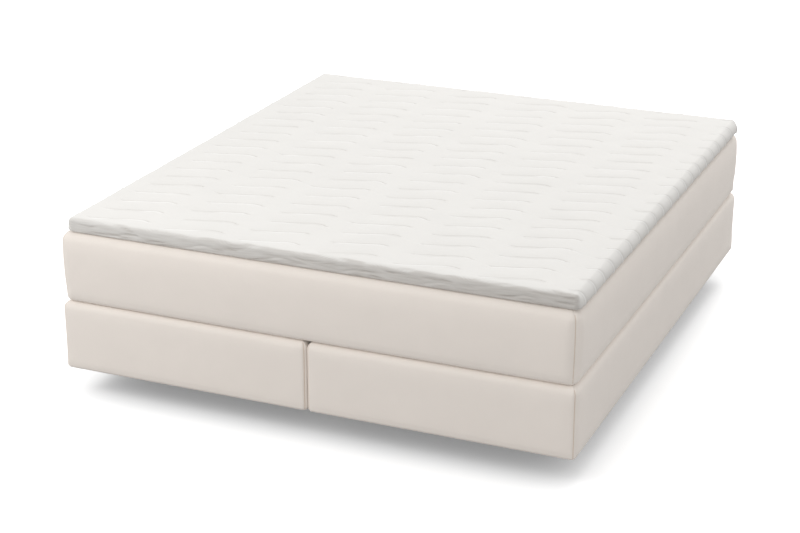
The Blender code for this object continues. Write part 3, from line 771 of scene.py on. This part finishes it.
def outside(foot, top, foot_edge, top_edge, top_steps):
    """Insets and heights down the outside of a cover, from its flat panel to its foot."""
    levels = spaced(foot + foot_edge, top - top_edge, SIDE_STEP)
    profile = quarter_arc(top_edge, top_steps, top) + [(0.0, height) for height in levels[::-1][1:-1]]
    return profile + quarter_arc(foot_edge, FOOT_STEPS, foot, foot=True)


def seam_rings(top_steps, outer):
    """The rings whose corners show a seam in the darker thread."""
    return range((top_steps + 1) // 2, outer - FOOT_STEPS)


# Base boxes

def base_cover(side):
    """The upholstery of one box: the piece, its shell and the number of rings that show."""
    shell = Shell(side + "_cover", INNER_RECTANGLE)
    foot, top = shell.foot, shell.top
    shell.panel(top)
    profile = outside(foot, top, BOX_FOOT_EDGE, BOX_TOP_EDGE, BOX_TOP_STEPS)
    outer = len(profile)
    profile += [(BOX_FLANGE, foot), (BOX_FLANGE, foot + CLOTH), (BOX_FOOT_EDGE, foot + CLOTH)]
    profile += [(CLOTH, foot + BOX_FOOT_EDGE), (CLOTH, top - BOX_TOP_EDGE), (BOX_TOP_EDGE, top - CLOTH)]
    shell.follow(profile, BOX_CORNER, CLOTH)
    shell.close()
    name = side + "_base_upholstery"
    obj = add_piece(name, shell.points, shell.faces, BASE_CLOTH, "base")
    rings = seam_rings(BOX_TOP_STEPS, outer)
    second_material(obj, SEAM_CLOTH, shell.seam_faces(rings, BOX_SEAM_SPREAD))
    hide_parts(side + "_cover")
    return obj, shell, outer


# Mattress

def mattress_inset(height, tall):
    """How far the border lies inside its widest line."""
    widest = MATTRESS_WIDEST_SHARE * tall
    if height < widest:
        return MATTRESS_LOW_DRAW * ((widest - height) / widest) ** 2
    return MATTRESS_HIGH_DRAW * ((height - widest) / (tall - widest)) ** 2


def mattress_cover():
    """The cover of the mattress: the piece, its shell and the number of rings that show."""
    shell = Shell("mattress_cover", INNER_RECTANGLE, MATTRESS_BOW)
    foot, top = shell.foot, shell.top
    shell.panel(top)
    profile = outside(foot, top, MATTRESS_FOOT_EDGE, MATTRESS_TOP_EDGE, MATTRESS_TOP_STEPS)
    profile = [(inset + mattress_inset(height - foot, top - foot), height) for inset, height in profile]
    outer = len(profile)
    profile += [(MATTRESS_WALL, foot), (MATTRESS_WALL, top - MATTRESS_CEILING)]
    shell.follow(profile, MATTRESS_CORNER, CLOTH)
    shell.close()
    name = "mattress_upholstery"
    obj = add_piece(name, shell.points, shell.faces, MATTRESS_CLOTH, "mattress")
    rings = seam_rings(MATTRESS_TOP_STEPS, outer)
    second_material(obj, SEAM_CLOTH, shell.seam_faces(rings, MATTRESS_SEAM_SPREAD))
    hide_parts("mattress_cover")
    return obj, shell, outer


def held_points(shell, outer, near_joint=0.0):
    """Points of a cover that don't swell: its panel, folded edge and inside, and those near the joint."""
    held = [index for row in shell.grid for index in row]
    for number, ring in enumerate(shell.rings):
        swells = HELD_RINGS <= number < outer - FOOT_STEPS
        held += [index for index in ring if not swells or abs(shell.points[index][0]) < near_joint]
    return held


# Topper: the cloth is laid out flat, quilted along its wave lines and wrapped over the edges

def edge_path(tall, edge_out, edge_down):
    """The border in section: out from the flat top, over the edge, down, and in under the foot."""
    flat = TOPPER_CORNER - edge_out
    path = [(0.0, tall)]
    for step in range(TOPPER_EDGE_STEPS + 1):
        turn = step / TOPPER_EDGE_STEPS * math.pi / 2
        path.append((flat + edge_out * math.sin(turn), tall - edge_down * (1 - math.cos(turn))))
    foot = quarter_arc(TOPPER_FOOT_EDGE, FOOT_STEPS, 0.0, foot=True)
    path += [(TOPPER_CORNER - inset, height) for inset, height in foot]
    path.append((TOPPER_CORNER - TOPPER_HEM, 0.0))
    path = np.array(path)
    below_edge = np.clip(1 - path[:, 1] / (tall - edge_down), 0, 1)
    path[:, 0] -= TOPPER_DRAW * below_edge ** TOPPER_DRAW_POWER
    return path


def along_path(path):
    steps = np.linalg.norm(np.diff(path, axis=0), axis=1)
    return np.concatenate([[0.0], np.cumsum(steps)])


def stitch_turn(across, middle):
    """The place along a stitch line's wave, as an angle from the middle of a rise."""
    return 2 * math.pi * (across + middle[0] - WAVE_RISE_AT) / QUILT_WAVE


def stitch_wave(across, middle):
    """How far a stitch line lies from its row, and its slope."""
    turn = stitch_turn(across, middle)
    wave = WAVE_HEIGHT * (np.sin(turn) - WAVE_LEAN_SHARE * np.sin(2 * turn))
    slope = WAVE_HEIGHT * (np.cos(turn) - 2 * WAVE_LEAN_SHARE * np.cos(2 * turn)) * 2 * math.pi / QUILT_WAVE
    return wave, slope


def stitch_distance(across, along, middle):
    """Distance from each place on the cloth to the nearest stitch line, below 0 on its foot side."""
    wave, slope = stitch_wave(across, middle)
    rows = (along + middle[1] - ROW_AT - wave) / QUILT_ROW
    return (rows - np.round(rows)) * QUILT_ROW / np.sqrt(1 + slope ** 2)


class QuiltedCloth:
    """The topper's cloth: a grid on the flat cloth, and where each of its points lies on the topper."""

    def __init__(self, column_step, border_step, offsets):
        self.column_step = column_step
        self.border_step = border_step
        self.offsets = sorted({-offset for offset in offsets} | set(offsets))
        self.low, self.high, self.middle, half = box_of("topper_cover")
        self.tall = self.high[2] - self.low[2]
        self.flat = half[:2] - TOPPER_CORNER
        self.end_path = edge_path(self.tall, *TOPPER_END_EDGE)
        self.side_path = edge_path(self.tall, *TOPPER_SIDE_EDGE)
        self.end_way = along_path(self.end_path)
        self.border = self.end_way[-1]
        self.side_way = along_path(self.side_path)
        self.side_way *= self.border / self.side_way[-1]
        self.columns = self.grid_columns()
        self.rows = self.grid_rows()
        self.wide = len(self.columns)
        self.deep = len(self.rows)
        across, places = np.meshgrid(self.columns, self.rows)
        wave, _ = stitch_wave(across, self.middle)
        last = self.flat[1] + self.border
        fade = np.clip((last - np.abs(places)) / self.border, 0, 1)
        self.across = across.ravel()
        self.along = (places + wave * fade).ravel()
        self.beside = stitch_distance(self.across, self.along, self.middle)
        self.distance = np.abs(self.beside)
        self.reach = self.find_reach()
        self.heading = self.headings()
        self.sideways = self.heading[:, 0] ** 2
        self.endways = self.heading[:, 1] ** 2
        self.over_edge = smooth_step(self.reach / OVER_EDGE)

    def grid_columns(self):
        steps = self.flat[0] + spaced(0, self.border, self.border_step)[1:]
        return np.concatenate([-steps[::-1], spaced(-self.flat[0], self.flat[0], self.column_step), steps])

    def grid_rows(self):
        """Rows that follow the stitch lines, close together beside each line."""
        first = ROW_AT - self.middle[1]
        lines = range(-QUILT_LINES, QUILT_LINES + 1)
        rows = [first + line * QUILT_ROW + offset for line in lines for offset in self.offsets]
        rows = [place for place in rows if abs(place) < self.flat[1] - self.border_step / 2]
        steps = spaced(self.flat[1], self.flat[1] + self.border, self.border_step)
        return np.concatenate([-steps[::-1], rows, steps])

    def find_reach(self):
        """How far past the flat top each point lies, along the cloth."""
        self.out_x = np.maximum(np.abs(self.across) - self.flat[0], 0)
        self.out_y = np.maximum(np.abs(self.along) - self.flat[1], 0)
        return np.minimum(np.maximum(self.out_x, self.out_y), self.border)

    def headings(self):
        """The way outwards from the flat top, turning smoothly round each corner."""
        larger = np.maximum(np.maximum(self.out_x, self.out_y), TINY)
        turn = np.where(
            self.out_x >= self.out_y,
            math.pi / 4 * self.out_y / larger,
            math.pi / 2 - math.pi / 4 * self.out_x / larger,
        )
        return np.stack([np.cos(turn) * np.sign(self.across), np.sin(turn) * np.sign(self.along)], axis=1)

    def follow(self, reach):
        """Distance out and height, that far along the border: rounder at the sides than at the ends."""
        end, side = (
            np.stack([np.interp(reach, way, path[:, 0]), np.interp(reach, way, path[:, 1])])
            for way, path in ((self.end_way, self.end_path), (self.side_way, self.side_path))
        )
        return end + (side - end) * self.sideways

    def uneven(self, size, seed, scale_x=1.0, scale_y=1.0):
        """Unevenness all over the flat cloth. A scale below 1 draws its bumps out that way."""
        places = [self.across * scale_x, self.along * scale_y, np.zeros(len(self.across))]
        return soft_noise(np.column_stack(places), size, seed)

    def wrinkles(self, seed):
        """Short, narrow creases that run along the end borders, between 0 and 1."""
        chance = np.random.default_rng(seed)
        total = np.zeros(len(self.across))
        for _ in range(WRINKLES):
            end = chance.choice((-1, 1))
            centre = chance.uniform(-self.flat[0], self.flat[0])
            place = chance.uniform(*WRINKLE_REACHES)
            half = chance.uniform(*WRINKLE_HALF_LENGTHS)
            tilt = chance.normal(0, WRINKLE_TILT)
            along = self.across - centre
            crease = bell(self.reach - place - tilt * along, WRINKLE_WIDTH)
            crease *= np.clip(1 - (along / half) ** 2, 0, 1)
            total = np.maximum(total, crease * (self.along * end > 0) * chance.uniform(WRINKLE_FAINTEST, 1))
        return total * self.endways

    def drawn(self):
        """How firmly the stitching holds each place, from 0 to 1: on the rises, and all down the sides."""
        swing = np.cos(stitch_turn(self.across, self.middle) - CREASE_LAG)
        swing += DASH_UNEVEN * self.uneven(DASH_PATCH, TOPPER_SEED)
        rising = smooth_step((swing - FALL_END_SHARE) / (FALL_START_SHARE - FALL_END_SHARE))
        return rising + (1 - rising) * self.over_edge * self.sideways

    def depth(self, seed):
        """How far the stitches and the creases beside them draw the cloth in."""
        strength = FALLING_DEPTH_SHARE + (1 - FALLING_DEPTH_SHARE) * self.drawn()
        edge_share = END_DEPTH_SHARE + (SIDE_DEPTH_SHARE - END_DEPTH_SHARE) * self.sideways
        strength *= 1 + (edge_share - 1) * self.over_edge
        rounding = QUILT_ROUNDING * (1 + (SIDE_ROUNDING_SHARE - 1) * self.over_edge * self.sideways)
        sewn = QUILT_DEPTH * np.exp(-self.distance / rounding)
        sewn += QUILT_PUFF * (1 - smooth_step(self.distance / PUFF_REACH))
        sewn -= LIP_HEIGHT * bell(self.beside + LIP_AT, LIP_WIDTH)
        puckers = self.uneven(PUCKER_SIZE, seed, 1.0, PUCKER_SCALE) * PUCKER
        puckers *= np.exp(-self.distance / PUCKER_REACH)
        sag = self.uneven(SAG_SIZE, seed + 1) * SAG
        creased = WRINKLE_DEPTH * self.wrinkles(seed + 2)
        fading = np.clip((self.border - TOPPER_HEM - self.reach) / HEM_FADE, 0, 1)
        return (sewn * strength - puckers - sag + creased) * fading

    def painted_highlight(self, seed):
        """How much painted highlight each point has: in stretches on the foot side of a line."""
        stretches = smooth_step(HIGHLIGHT_MEAN + self.uneven(HIGHLIGHT_RUN, seed + 4))
        stretches += (self.sideways - stretches) * self.over_edge
        return bell(self.beside + HIGHLIGHT_AT, HIGHLIGHT_WIDTH) * self.drawn() * stretches * HIGHLIGHT_SHARE

    def painted_light(self, seed):
        """How much painted shade each point has: in creases, and past the edges, from wisps on."""
        wisps = self.uneven(WISP_SIZE, seed, WISP_SCALE) * SHADE_WISP
        streaks = self.uneven(STREAK_SIZE, seed + 1, STREAK_SCALE)
        # Painted shade on the end borders: darker towards +X, in streaks, and full in the wrinkles
        end_shade = SHADE_SHARE + SHADE_SLOPE * self.across / self.flat[0]
        end_shade += SHADE_STREAK * (smooth_step(0.5 + 0.5 * streaks) - 0.5)
        end_shade += (1 - end_shade) * self.wrinkles(seed + 2)
        end_shade *= smooth_step((self.reach + wisps - SHADE_START) / SHADE_SPAN)
        # Painted shade down the sides, darker towards their foot
        low = SIDE_SHADE_SHARE * smooth_step((self.reach - SHADE_START) / SIDE_SHADE_SPAN)
        # Painted shade in the crease on the head side of each stitch line
        crease = bell(self.beside - CREASE_SHADE_AT, CREASE_SHADE_WIDTH)
        creased = CREASE_SHADE_SHARE * crease * self.drawn() * (1 - self.over_edge)
        return creased + low + (end_shade - low) * smooth_step((self.endways - END_SHADE_FROM) / END_SHADE_SPAN)

    def points(self, seed):
        """Where each point lies, pressed in square to the surface."""
        outward, height = self.follow(self.reach)
        run, rise = self.follow(self.reach + SLOPE_STEP) - self.follow(self.reach - SLOPE_STEP)
        length = np.maximum(np.hypot(rise, run), TINY)
        normal_out = np.where(self.reach > 0, -rise / length, 0)
        normal_up = np.where(self.reach > 0, run / length, 1)
        depth = self.depth(seed)
        out = (outward - depth * normal_out)[:, None] * self.heading
        base = np.clip(np.stack([self.across, self.along], axis=1), -self.flat, self.flat) + self.middle[:2]
        return np.column_stack([base + out, self.low[2] + height - depth * normal_up])


def topper_swell_cloth(seed):
    """A coarser copy of the topper's cloth, for the simulation alone, and its held points."""
    cloth = QuiltedCloth(SWELL_COLUMN_STEP, SWELL_BORDER_STEP, SWELL_OFFSETS)
    mesh = new_mesh("topper swell", cloth.points(seed), grid_faces(cloth.wide, cloth.deep))
    held = (cloth.distance < SEWN_REACH) & (cloth.drawn() > SEWN_FIRMLY)
    held |= cloth.reach > cloth.border - TOPPER_HEM
    return cloth, new_object("topper swell", mesh), np.flatnonzero(held)


def between(values, places, wanted):
    """Values read off at other places along the first axis, in straight lines between the given places."""
    after = np.clip(np.searchsorted(places, wanted), 1, len(places) - 1)
    share = (wanted - places[after - 1]) / (places[after] - places[after - 1])
    return values[after - 1] + (values[after] - values[after - 1]) * share[:, None, None]


def spread_swelling(coarse, move, fine):
    """The coarse cloth's movement at each point of the fine cloth."""
    move = between(move.reshape(coarse.deep, coarse.wide, 3), coarse.rows, fine.rows)
    move = between(move.swapaxes(0, 1), coarse.columns, fine.columns)
    return move.swapaxes(0, 1).reshape(-1, 3)


def topper_cover(cloth, swelling, seed):
    """The topper's upper cover, with the swelling of the coarser cloth."""
    points = cloth.points(seed) + swelling
    faces = grid_faces(cloth.wide, cloth.deep)
    rim = grid_rim(cloth.wide, cloth.deep)
    inner = points[rim]
    inner[:, 2] = cloth.high[2] - TOPPER_CEILING
    first = len(points)
    points = np.concatenate([points, inner])
    for index in range(len(rim)):
        after = (index + 1) % len(rim)
        faces.append((rim[after], rim[index], first + index, first + after))
    faces.append(tuple(range(first + len(rim) - 1, first - 1, -1)))
    obj = add_piece("topper_quilted_cover", points, faces, TOPPER_CLOTH, "topper")
    # Painted shade (the border attribute) and painted highlight at each point; the inside points take full
    # shade and no highlight
    for name, shares, inside in (("border", cloth.painted_light(seed), 1), ("painted_highlight", cloth.painted_highlight(seed), 0)):
        values = np.full(len(points), inside, np.float32)
        values[:first] = shares
        obj.data.attributes.new(name, "FLOAT", "POINT").data.foreach_set("value", values)
    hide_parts("topper_cover")


# Inside the boxes, the mattress and the topper

def slab(name, node, material, body, top_edge, foot_edge, corner, seed):
    """A closed block or panel with rounded edges, in the box of its node."""
    _, _, middle, half = box_of(node)
    shell = Shell(node, SLAB_MARGIN)
    shell.panel(shell.top)
    profile = quarter_arc(top_edge, SLAB_TOP_STEPS, shell.top)
    profile += quarter_arc(foot_edge, SLAB_FOOT_STEPS, shell.foot, foot=True)
    shell.follow(profile, corner, foot_edge)
    shell.ring(SLAB_MARGIN - foot_edge, foot_edge, shell.foot)
    shell.close()
    points = np.array(shell.points)
    uneven = np.abs(soft_noise(points, UNEVEN_SIZE, seed)) * min(UNEVEN, half[2] / 4)
    points[:, 2] -= uneven * (points[:, 2] > middle[2])
    obj = add_piece(name, points, shell.faces, material, body)
    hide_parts(node)
    return obj


def foam_block(name, node, body, seed, top_edge=FOAM_EDGE, corner=FOAM_CORNER):
    obj = slab(name, node, FOAM, body, top_edge, FOAM_EDGE, corner, seed)


def box_top_pad(side, seed):
    """The pad on a box's springs, rounded to lie inside the cover's rounded edges."""
    inset = box_of(side + "_top_pad")[0][0] - box_of(side + "_cover")[0][0]
    foam_block(side + "_pad_foam", side + "_top_pad", "base", seed, BOX_TOP_EDGE - inset / 2, BOX_CORNER)


def lining_panel(name, node, body, seed):
    obj = slab(name, node, LINING, body, PANEL_EDGE, PANEL_EDGE, PANEL_CORNER, seed)


def foam_wall(name, node, body, profile, corner):
    """A wall of foam that goes round: its section is closed, as (inset, height) pairs."""
    shell = Shell(node, profile[-1][0] + corner)
    shell.follow(profile, corner, FOAM_EDGE)
    shell.close_round()
    obj = add_piece(name, shell.points, shell.faces, FOAM, body)
    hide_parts(node)


def box_edge_foam(side):
    """Padding beside the timber frame and, thicker, beside the springs that stand on it."""
    node = side + "_edge_foam"
    low, high, _, _ = box_of(node)
    rail = box_of(side + "_side_rail_outer")
    springs = box_of(side + "_spring_unit")
    thin = min(abs(rail[0][0] - low[0]), abs(high[0] - rail[1][0])) - FIT_GAP
    thick = springs[0][0] - low[0] - FIT_GAP
    step = springs[0][2] - FIT_GAP
    profile = quarter_arc(FOAM_EDGE, WALL_STEPS, high[2])
    profile += quarter_arc(BOX_FOOT_EDGE, SLAB_FOOT_STEPS, low[2], foot=True)
    profile += [(thin, low[2]), (thin, step), (thick, step), (thick, high[2])]
    foam_wall(side + "_edge_padding", node, "base", profile, BOX_CORNER)


def mattress_edge_foam():
    low, high, _, _ = box_of("mattress_edge_foam")
    springs = box_of("mattress_spring_core")
    thick = springs[0][0] - low[0] - FIT_GAP
    profile = quarter_arc(FOAM_EDGE, WALL_STEPS, high[2])
    profile += quarter_arc(FOAM_EDGE, WALL_STEPS, low[2], foot=True)
    profile += [(thick, low[2]), (thick, high[2])]
    foam_wall("mattress_edge_border", "mattress_edge_foam", "mattress", profile, FOAM_CORNER)


def turned(profile, sides):
    """Points and faces of a closed turned form about Z, from (radius, height) pairs."""
    turns = np.linspace(0, 2 * math.pi, sides, endpoint=False)
    points = [
        (radius * math.cos(turn), radius * math.sin(turn), height)
        for radius, height in profile
        for turn in turns
    ]
    return np.array(points), tube_faces(len(profile), sides)


def repeated(points, faces, places):
    """Copies of a form, one at each place."""
    every_point = np.concatenate([points + place for place in places])
    starts = range(0, len(every_point), len(points))
    return every_point, [tuple(start + number for number in face) for start in starts for face in faces]


def spring_block(name, node, body, pitch):
    """Barrel springs, each in its own cloth pocket, welded side to side."""
    low, _, _, half = box_of(node)
    counts = [max(2, round(2 * half[axis] / pitch)) for axis in (0, 1)]
    steps = [2 * half[axis] / counts[axis] for axis in (0, 1)]
    profile = [(share, height * 2 * half[2]) for share, height in POCKET_SHARES]
    points, faces = turned(profile, POCKET_SIDES)
    points[:, 0] *= steps[0] / 2 + POCKET_OVERLAP
    points[:, 1] *= steps[1] / 2 + POCKET_OVERLAP
    places = [
        (low[0] + (column + 0.5) * steps[0], low[1] + (row + 0.5) * steps[1], low[2])
        for column in range(counts[0])
        for row in range(counts[1])
    ]
    points, faces = repeated(points, faces, places)
    obj = add_piece(name, points, faces, POCKET_CLOTH, body)
    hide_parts(node)


# Underside of the boxes

def cut_holes(obj, places):
    """Cuts a round hole for a leg at each place."""
    bm = bmesh.new()
    for place in places:
        made = bmesh.ops.create_cone(
            bm, cap_ends=True, segments=HOLE_SIDES, radius1=DUST_HOLE, radius2=DUST_HOLE, depth=HOLE_DEPTH,
        )
        bmesh.ops.translate(bm, verts=made["verts"], vec=Vector(place))
    mesh = bpy.data.meshes.new("holes")
    bm.to_mesh(mesh)
    bm.free()
    cutter = new_object("holes", mesh)
    modifier = obj.modifiers.new("holes", "BOOLEAN")
    modifier.operation = "DIFFERENCE"
    modifier.object = cutter
    bpy.context.view_layer.update()
    cut = bpy.data.meshes.new_from_object(obj.evaluated_get(bpy.context.evaluated_depsgraph_get()))
    obj.modifiers.clear()
    obj.data = cut
    bpy.data.objects.remove(cutter)


def dust_cover(side, seed):
    """The thin cloth under a box: tight where it is stapled, and hanging a little between."""
    node = side + "_dust_cover"
    low, high, middle, half = box_of(node)
    columns = spaced(low[0], high[0], DUST_STEP)
    rows = spaced(low[1], high[1], DUST_STEP)
    x, y = (places.ravel() for places in np.meshgrid(columns, rows))
    from_edge = np.minimum(half[0] - np.abs(x - middle[0]), half[1] - np.abs(y - middle[1]))
    slack = DUST_SAG + soft_noise(np.column_stack([x, y, np.zeros(len(x))]), DUST_PATCH, seed) * DUST_SAG / 3
    drop = slack * smooth_step((from_edge - DUST_HELD) / DUST_SPAN)
    points = np.concatenate([np.column_stack([x, y, height - drop]) for height in (high[2], low[2])])
    below = len(x)
    faces = []
    for face in grid_faces(len(columns), len(rows)):
        faces += [face, tuple(below + number for number in reversed(face))]
    rim = grid_rim(len(columns), len(rows))
    for here, after in zip(rim, rim[1:] + rim[:1]):
        faces.append((here, below + here, below + after, after))
    obj = add_piece(side + "_dust_cloth", points, faces, DUST_CLOTH, "base")
    legs = [
        box_of(name)[2] for name in sorted(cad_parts)
        if name.startswith(side + "_leg_") and "bearer" not in name
    ]
    cut_holes(obj, [(leg[0], leg[1], middle[2]) for leg in legs])
    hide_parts(node)


def staple_form():
    """One staple: a straight crown along X that turns up into the timber at both ends."""
    turns = [2 * math.pi * side / STAPLE_SIDES for side in range(STAPLE_SIDES)]
    points = [
        (along, STAPLE_WIRE * math.cos(turn), height + STAPLE_WIRE * math.sin(turn))
        for along, height in STAPLE_STATIONS
        for turn in turns
    ]
    return np.array(points), tube_faces(len(STAPLE_STATIONS), STAPLE_SIDES)


def staples(side, seed):
    """Staples all round a dust cover, each a little out of line."""
    low, _, middle, half = box_of(side + "_dust_cover")
    chance = np.random.default_rng(seed)
    form, faces = staple_form()
    half = half[:2] - STAPLE_INSET
    runs = []
    for turned_by, reach, out in ((0.0, half[0], half[1]), (math.pi / 2, half[1], half[0])):
        for place in spaced(-reach + STAPLE_PITCH / 2, reach - STAPLE_PITCH / 2, STAPLE_PITCH):
            for way in (-1, 1):
                runs.append((turned_by, place, way * out))
    points = []
    every_face = []
    for turned_by, place, out in runs:
        tilt = turned_by + chance.normal(0, STAPLE_TILT)
        along = place + chance.uniform(-STAPLE_SLIP, STAPLE_SLIP)
        centre = (along, out) if turned_by == 0.0 else (out, along)
        cosine, sine = math.cos(tilt), math.sin(tilt)
        x = form[:, 0] * cosine - form[:, 1] * sine + centre[0] + middle[0]
        y = form[:, 0] * sine + form[:, 1] * cosine + centre[1] + middle[1]
        every_face += [tuple(number + len(points) * len(form) for number in face) for face in faces]
        points.append(np.column_stack([x, y, form[:, 2] + low[2] - STAPLE_WIRE]))
    add_piece(side + "_staples", np.concatenate(points), every_face, STEEL, "base")


def plate_screws(place_name):
    """Four pan-head screws that hold a coupling plate to the inner rails."""
    low, _, middle, _ = box_of("coupling_plate_" + place_name)
    form, faces = turned(SCREW_PROFILE, SCREW_SIDES)
    rails = [box_of(side + "_side_rail_inner")[2][0] for side in ("left", "right")]
    places = [(x, middle[1] + way * SCREW_OFFSET, low[2]) for x in rails for way in (-1, 1)]
    points, faces = repeated(form, faces, places)
    add_piece("screws_" + place_name, points, faces, STEEL, "base")


# Stage, light and camera

def make_floor():
    mesh = bpy.data.meshes.new("floor")
    bm = bmesh.new()
    bmesh.ops.create_grid(bm, x_segments=1, y_segments=1, size=FLOOR_REACH)
    bm.to_mesh(mesh)
    bm.free()
    floor = new_object("floor", mesh)
    look = Look("Pale floor")
    look.tree.nodes.clear()
    seen = look.new("LightPath").outputs["Is Camera Ray"]
    paint = look.add("BsdfDiffuse", {"Color": look.choose(seen, FLOOR_BOUNCE, FLOOR_SEEN)})
    glow = look.add("Emission", {"Strength": look.times(seen, FLOOR_GLOW)})
    both = look.add("AddShader", {0: paint[0], 1: glow[0]})
    look.add("OutputMaterial", {"Surface": both[0]})
    mesh.materials.append(look.material)


def make_sky():
    world = bpy.data.worlds.new("Studio")
    bpy.context.scene.world = world
    world.use_nodes = True
    sky = Nodes(world.node_tree)
    sky.tree.nodes.clear()
    rays = sky.new("LightPath").outputs
    seen = sky.maths("MAXIMUM", rays["Is Camera Ray"], rays["Is Glossy Ray"])
    seen = sky.maths("MAXIMUM", seen, rays["Is Transmission Ray"])
    values = {"Color": SKY_COLOUR, "Strength": sky.choose(seen, SKY_STRENGTH, 1.0)}
    light = sky.add("Background", values)
    sky.add("OutputWorld", {"Surface": light[0]})


def make_softbox(name, place, aim, size, power):
    """A square soft lamp at a place, facing a point."""
    lamp = bpy.data.lights.new(name, "AREA")
    lamp.size = size
    lamp.energy = power
    obj = new_object(name, lamp)
    obj.location = place
    obj.rotation_euler = (Vector(aim) - Vector(place)).to_track_quat("-Z", "Y").to_euler()


def make_camera():
    camera = bpy.data.cameras.new("camera")
    camera.sensor_width = SENSOR_WIDTH
    camera.lens = CAMERA_LENS
    obj = new_object("camera", camera)
    obj.location = CAMERA_PLACE
    obj.rotation_euler = (math.radians(90 - CAMERA_BELOW_HORIZON), 0, math.radians(CAMERA_TURN))
    bpy.context.scene.camera = obj


def make_covers():
    """All the upholstery: built, left to swell on its padding, and then drawn in at the corner seams."""
    boxes = [base_cover("left"), base_cover("right")]
    mattress, mattress_shell, mattress_outer = mattress_cover()
    coarse, coarse_piece, coarse_held = topper_swell_cloth(TOPPER_SEED)
    before = coordinates(coarse_piece.data)
    covers = [(obj, held_points(shell, outer, HELD_AT_JOINT), BOX_SWELL) for obj, shell, outer in boxes]
    covers.append((mattress, held_points(mattress_shell, mattress_outer), MATTRESS_SWELL))
    covers.append((coarse_piece, coarse_held, TOPPER_SWELL))
    swell(covers)
    cloth = QuiltedCloth(TOPPER_COLUMN_STEP, TOPPER_BORDER_STEP, STITCH_OFFSETS)
    swelling = spread_swelling(coarse, coordinates(coarse_piece.data) - before, cloth)
    bpy.data.objects.remove(coarse_piece)
    topper_cover(cloth, swelling, TOPPER_SEED)
    sewn = [(obj, shell, outer, BOX_CORNER) for obj, shell, outer in boxes]
    sewn.append((mattress, mattress_shell, mattress_outer, MATTRESS_CORNER))
    for obj, shell, outer, corner in sewn:
        rings = range(HELD_RINGS, outer - FOOT_STEPS // 2)
        set_coordinates(obj.data, shell.press_seams(coordinates(obj.data), rings, corner))


def make_insides():
    """Everything under the covers. The numbers are the seeds of each piece's unevenness."""
    for side, seed in (("left", 61), ("right", 67)):
        box_top_pad(side, seed)
        box_edge_foam(side)
        spring_block(side + "_pocket_springs", side + "_spring_unit", "base", BOX_POCKET)
        dust_cover(side, seed + 1)
        staples(side, seed + 2)
    for place_name in ("foot", "head"):
        plate_screws(place_name)
    lining_panel("mattress_base_lining", "mattress_base_panel", "mattress", 71)
    foam_block("mattress_lower_foam", "mattress_lower_layer", "mattress", 73)
    mattress_edge_foam()
    spring_block("mattress_pocket_springs", "mattress_spring_core", "mattress", MATTRESS_POCKET)
    foam_block("mattress_comfort_foam", "mattress_comfort_layer", "mattress", 79)
    lining_panel("topper_lining", "topper_lower_panel", "topper", 83)
    foam_block("topper_foam", "topper_core", "topper", 89)


make_covers()
make_insides()
finish_rigid_parts()
make_floor()
make_sky()
for lamp in (BACK_LAMP, FILL_LAMP):
    make_softbox(*lamp)
make_camera()
bpy.context.scene.view_settings.view_transform = "Standard"
